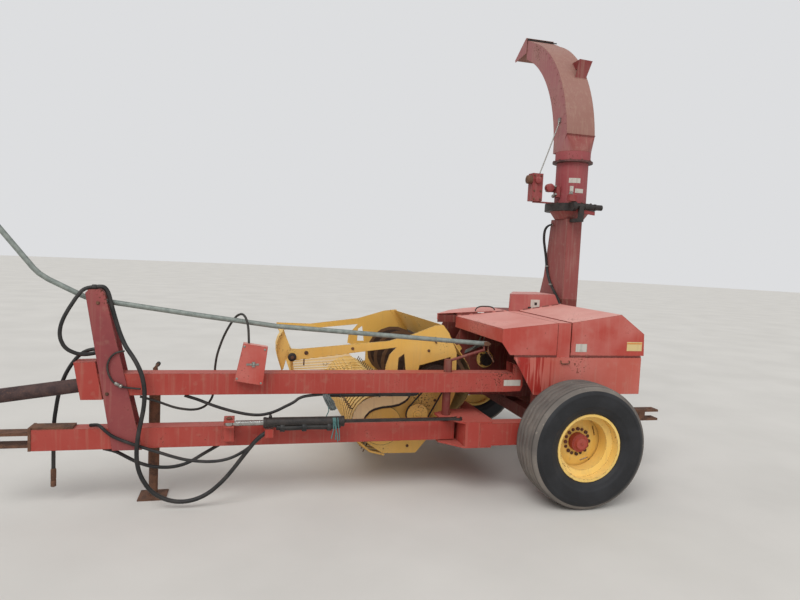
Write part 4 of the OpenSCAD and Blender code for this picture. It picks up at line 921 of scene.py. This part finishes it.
def belt_loop(mesh, first, second, y, thick):
    """A belt round two pulleys: each is x, z and radius, and y is its near and far edge."""
    a, b = Vector((first[0], first[1])), Vector((second[0], second[1]))
    line = math.atan2(b.y - a.y, b.x - a.x)
    lean = math.acos((first[2] - second[2]) / (b - a).length)
    path = []
    for centre, radius, start, stop in ((a, first[2], line + lean, line + math.tau - lean),
                                        (b, second[2], line - lean, line + lean)):
        for k in range(17):
            turn = start + (stop - start) * k / 16
            path.append((centre, radius, turn))
    rings = [[at(c.x + r * math.cos(t), y[0], c.y + r * math.sin(t)),
              at(c.x + r * math.cos(t), y[1], c.y + r * math.sin(t)),
              at(c.x + (r + thick) * math.cos(t), y[1], c.y + (r + thick) * math.sin(t)),
              at(c.x + (r + thick) * math.cos(t), y[0], c.y + (r + thick) * math.sin(t))]
             for c, r, t in path]
    rings_joined(mesh, rings, closed=True, smooth=False)


mesh = bmesh.new()
belt_loop(mesh, (-951, 475, 73.6), (*AUGER_AXIS, 45.4), (459, 471), 7)
piece("pickup_belt", mesh, HOSE, "header")
mesh = bmesh.new()
turned(mesh, at(-805, 473, 685), (0, -1, 0), [(0, 51), (1.5, 51), (2, 45), (14, 45), (14.5, 51),
                                              (16, 51), (17, 20)], 32)
piece("auger_pulley", mesh, GREASE_AND_SHADE, "auger_rotor")

# Sheet that closes the back sheet to the far end plate
mesh = bmesh.new()
slab(mesh, [(-800, 2043, 1030), (-738, 2043, 1036), (-600, 2043, 830), (-672, 2043, 836),
            (-724, 2043, 930)], (0, -4, 0))
piece("far_corner_sheet", mesh, YELLOW, "header", 0.8)
# Curved side strip of the stripper bands, over the disc and up to the end plate, its enamel paler
# than the yellow as a painted highlight
OUTER_STRIP = [(-1390, 440), (-1379, 495), (-1356, 537), (-1315, 571), (-1265, 591),
               (-1197, 599), (-1136, 596), (-1093, 608), (-1059, 623), (-1011, 623)]
INNER_STRIP = [(-1320, 440), (-1305, 473), (-1280, 502), (-1244, 521), (-1193, 533),
               (-1133, 538), (-1081, 548), (-1039, 571), (-1022, 588), (-1008, 610)]
mesh = bmesh.new()
rings_joined(mesh, [[at(a, 473, b), at(a, 462, b), at(p, 462, q), at(p, 473, q)]
                    for (a, b), (p, q) in zip(OUTER_STRIP, INNER_STRIP)], smooth=False)
piece("stripper_side_strip", mesh, STRIPE_PAINTED_HIGHLIGHT, "header", 0.8)
# Dark gap under the strip
mesh = bmesh.new()
rings_joined(mesh, [[at(p, 474, q), at(p, 469, q), at(p + 5, 469, q - 16), at(p + 5, 474, q - 16)]
                    for p, q in INNER_STRIP])
piece("stripper_strip_shadow_gap", mesh, GREASE_AND_SHADE, "header")

# Face of the pickup's end disc
mesh = bmesh.new()
turned(mesh, at(-1185, 480.4, 400), (0, -1, 0), [(0, 132), (1.4, 132), (1.8, 126), (2.0, 60),
                                                 (3.4, 58), (3.8, 24), (9, 22), (10, 8)], 56)
piece("pickup_disc_face", mesh, YELLOW, "pickup_rotor", 0.4)

# Pins, wire hooks and bolts on the near end plate, and the washer of the windguard's pin
mesh = bmesh.new()
turned(mesh, at(-1700, 500, 880), (0, -1, 0), [(0, 13), (3, 13), (3.2, 9), (11, 8)], 20)
tube(mesh, [(-1714, 494, 842), (-1714, 492, 822), (-1714, 494, 801)], 4.5, 8)
tube(mesh, [(-838, 497, 994), (-836, 492, 980), (-840, 490, 962), (-828, 493, 953)], 4, 8)
for x, z in ((-880, 900), (-716, 680), (-820, 560), (-960, 320), (-1000, 250), (-1400, 910)):
    bolt(mesh, (x, 500, z), (0, -1, 0), 14)
piece("header_pins", mesh, RUST, "header")
mesh = bmesh.new()
turned(mesh, at(-1790, 483, 855), (0, -1, 0), [(0, 27), (6, 27), (6.2, 20), (9, 19)], 24)
turned(mesh, at(-1790, 474, 855), (0, -1, 0), [(0, 11), (6, 11), (7, 8)], 6, 1)
piece("windguard_pin_washer", mesh, [GREASE_AND_SHADE, RUST], "windguard_frame")

# Straw stalks that lie on the windguard
mesh = bmesh.new()
for k in range(22):
    x, y = random.uniform(-1500, -1290), random.uniform(700, 1300)
    turn, span = random.uniform(1.2, 1.9), random.uniform(100, 160)
    z = 667 - 18 * (x + 1763) / 573 + 5.5
    tube(mesh, [(x, y, z), (x + span * math.cos(turn) / 2, y + span * math.sin(turn) / 2, z + 3),
                (x + span * math.cos(turn), y + span * math.sin(turn), z)], 1.6, 5, 2)
piece("straw_on_windguard", mesh, STRAW, "windguard_frame")


# --- Tongue: clipped hoses, twine, loop cable, latch, swing cylinder, jack ---

mesh = bmesh.new()
CLIPPED = [(-1600, 311, 663), (-1585, 309, 653), (-1500, 308, 650), (-1380, 307, 651),
           (-1250, 307, 653), (-1120, 307, 651), (-1010, 308, 653), (-993, 310, 663)]
for dy, dz in ((0, 0), (14, 1), (6, -10)):
    tube(mesh, [(x, y + dy, z + (dz if 0 < k < 7 else 0)) for k, (x, y, z) in enumerate(CLIPPED)],
         6, 8, 3)
for x in (-1500, -1250, -1060):
    brick(mesh, (x - 5, x + 5), (299, 331), (634, 661))
piece("clipped_hose_runs", mesh, HOSE, "tongue", 1)

# Twine caught on the clips
TAIL = [(-1560, 296, 640), (-1562, 293, 628), (-1566, 292, 612), (-1571, 292, 594),
        (-1573, 292, 576), (-1570, 291, 558), (-1575, 291, 541), (-1582, 291, 524),
        (-1584, 291, 508)]
hose("twine_tail", None, TAIL, 6, TWINE, "tongue")
# A hank of grey strands off the clip, and frayed ends of twine tied round the barrel
for k in range(7):
    side, front = 11 * (k % 4) - 14, 6 * (k % 3)
    hose("grey_strand_%d" % (k + 1), None,
         [(-1592 + side, 305, 652), (-1585 + side, 302 - front, 634),
          (-1570 + side * 1.3, 300 - front, 611), (-1556 + side * 1.1, 300 - front, 583),
          (-1540 + side * 0.8, 299 - front, 556 + 2 * k)], 13, RAG, "tongue")
for k, (x, y) in enumerate(((-1552, 182), (-1538, 181), (-1524, 182), (-1545, 178))):
    hose("twine_end_%d" % (k + 1), None,
         [(x - 4, 192, 536), (x - 3, y, 522), (x - 2, y - 2, 500), (x + 2 * k, y - 2, 470),
          (x + 7 * k - 6, y - 1, 440), (x + 11 * k - 12, y, 412 - 6 * k)],
         7, TWINE, "swing_cylinder")

LOOP_CABLE = [(-2742, 292, 918), (-2783, 287, 909), (-2813, 286, 883), (-2830, 286, 839),
              (-2826, 286, 796), (-2810, 286, 758), (-2786, 286, 730), (-2752, 286, 714),
              (-2700, 284, 706), (-2652, 272, 704)]
mesh = bmesh.new()
crimp(mesh, (-2792, 286, 737), (-2750, 286, 713), 6)
loop_end = piece("loop_cable_coupler", mesh, BRIGHT, "tongue")
hose("post_loop_cable", None, LOOP_CABLE, 11, CORD, "tongue")

mesh = bmesh.new()
for place in ((-2884, 294, 1187), (-2832, 294, 671)):
    bolt(mesh, place, (0, -1, 0), 14)
piece("tongue_bolts", mesh, RUST, "tongue")

# Latch and rivets of the control box
mesh = bmesh.new()
brick(mesh, (-2072, -2000), (235.5, 238.5), (846, 858))
brick(mesh, (-2040, -2022), (232.5, 236), (836, 868))
turned(mesh, at(-2031, 233, 852), (0, -1, 0), [(0, 7), (5, 7), (6, 4)], 10)
for x, z in ((-2085, 958), (-1968, 940), (-1986, 740), (-2124, 768)):
    turned(mesh, at(x, 238.4, z), (0, -1, 0), [(0, 7), (3, 6.4), (4.5, 4)], 12)
piece("control_box_latch", mesh, BRIGHT, "tongue", 0.6)

# Swing cylinder: end cap rings and port
mesh = bmesh.new()
for x in (-1962, -1500):
    turned(mesh, at(x, 216, 509.3), (1, 0, 0), [(0, 31), (1, 32.5), (14, 32.5), (15, 31)], 28)
turned(mesh, at(-1925, 216, 538), (0, 0, 1), [(0, 10), (10, 10), (11, 8), (18, 8)], 6)
piece("swing_barrel_fittings", mesh, GREASE_AND_SHADE, "swing_cylinder")
# Hoses taped along the barrel's lower side
mesh = bmesh.new()
for y, z in ((190, 484), (206, 472), (222, 482)):
    tube(mesh, [(-1890, y, z + 4), (-1820, y - 3, z), (-1700, y + 2, z + 2), (-1590, y, z + 1),
                (-1508, y, z + 6)], 10, 10, 4)
for x in (-1868, -1740, -1590):
    turned(mesh, at(x, 205, 482), (1, 0, 0), [(0, 25), (1, 27), (26, 27), (27, 25)], 24)
piece("taped_hoses", mesh, HOSE, "swing_cylinder")
# Union that joins the two hoses over the post
mesh = bmesh.new()
turned(mesh, at(-2920, 314.4, 1273.6), (0.99, 0.09, 0.03), [(0, 13), (2, 15), (22, 15), (24, 13)],
       16)
piece("post_hose_union", mesh, HOSE, "tongue")
# Cap of the rod's pin
mesh = bmesh.new()
turned(mesh, at(-2160, 216, 537), (0, 0, 1), [(0, 17), (4, 17), (5, 12), (9, 10)], 16)
piece("swing_rod_pin_cap", mesh, RUST, "tongue")

# Jack: grip of the crank
mesh = bmesh.new()
turned(mesh, at(-2600, 560, 790), (0, 1, 0), [(0, 9.5), (1, 13), (44, 13), (48, 10)], 16)
piece("jack_crank_grip", mesh, GREASE_AND_SHADE, "tongue")
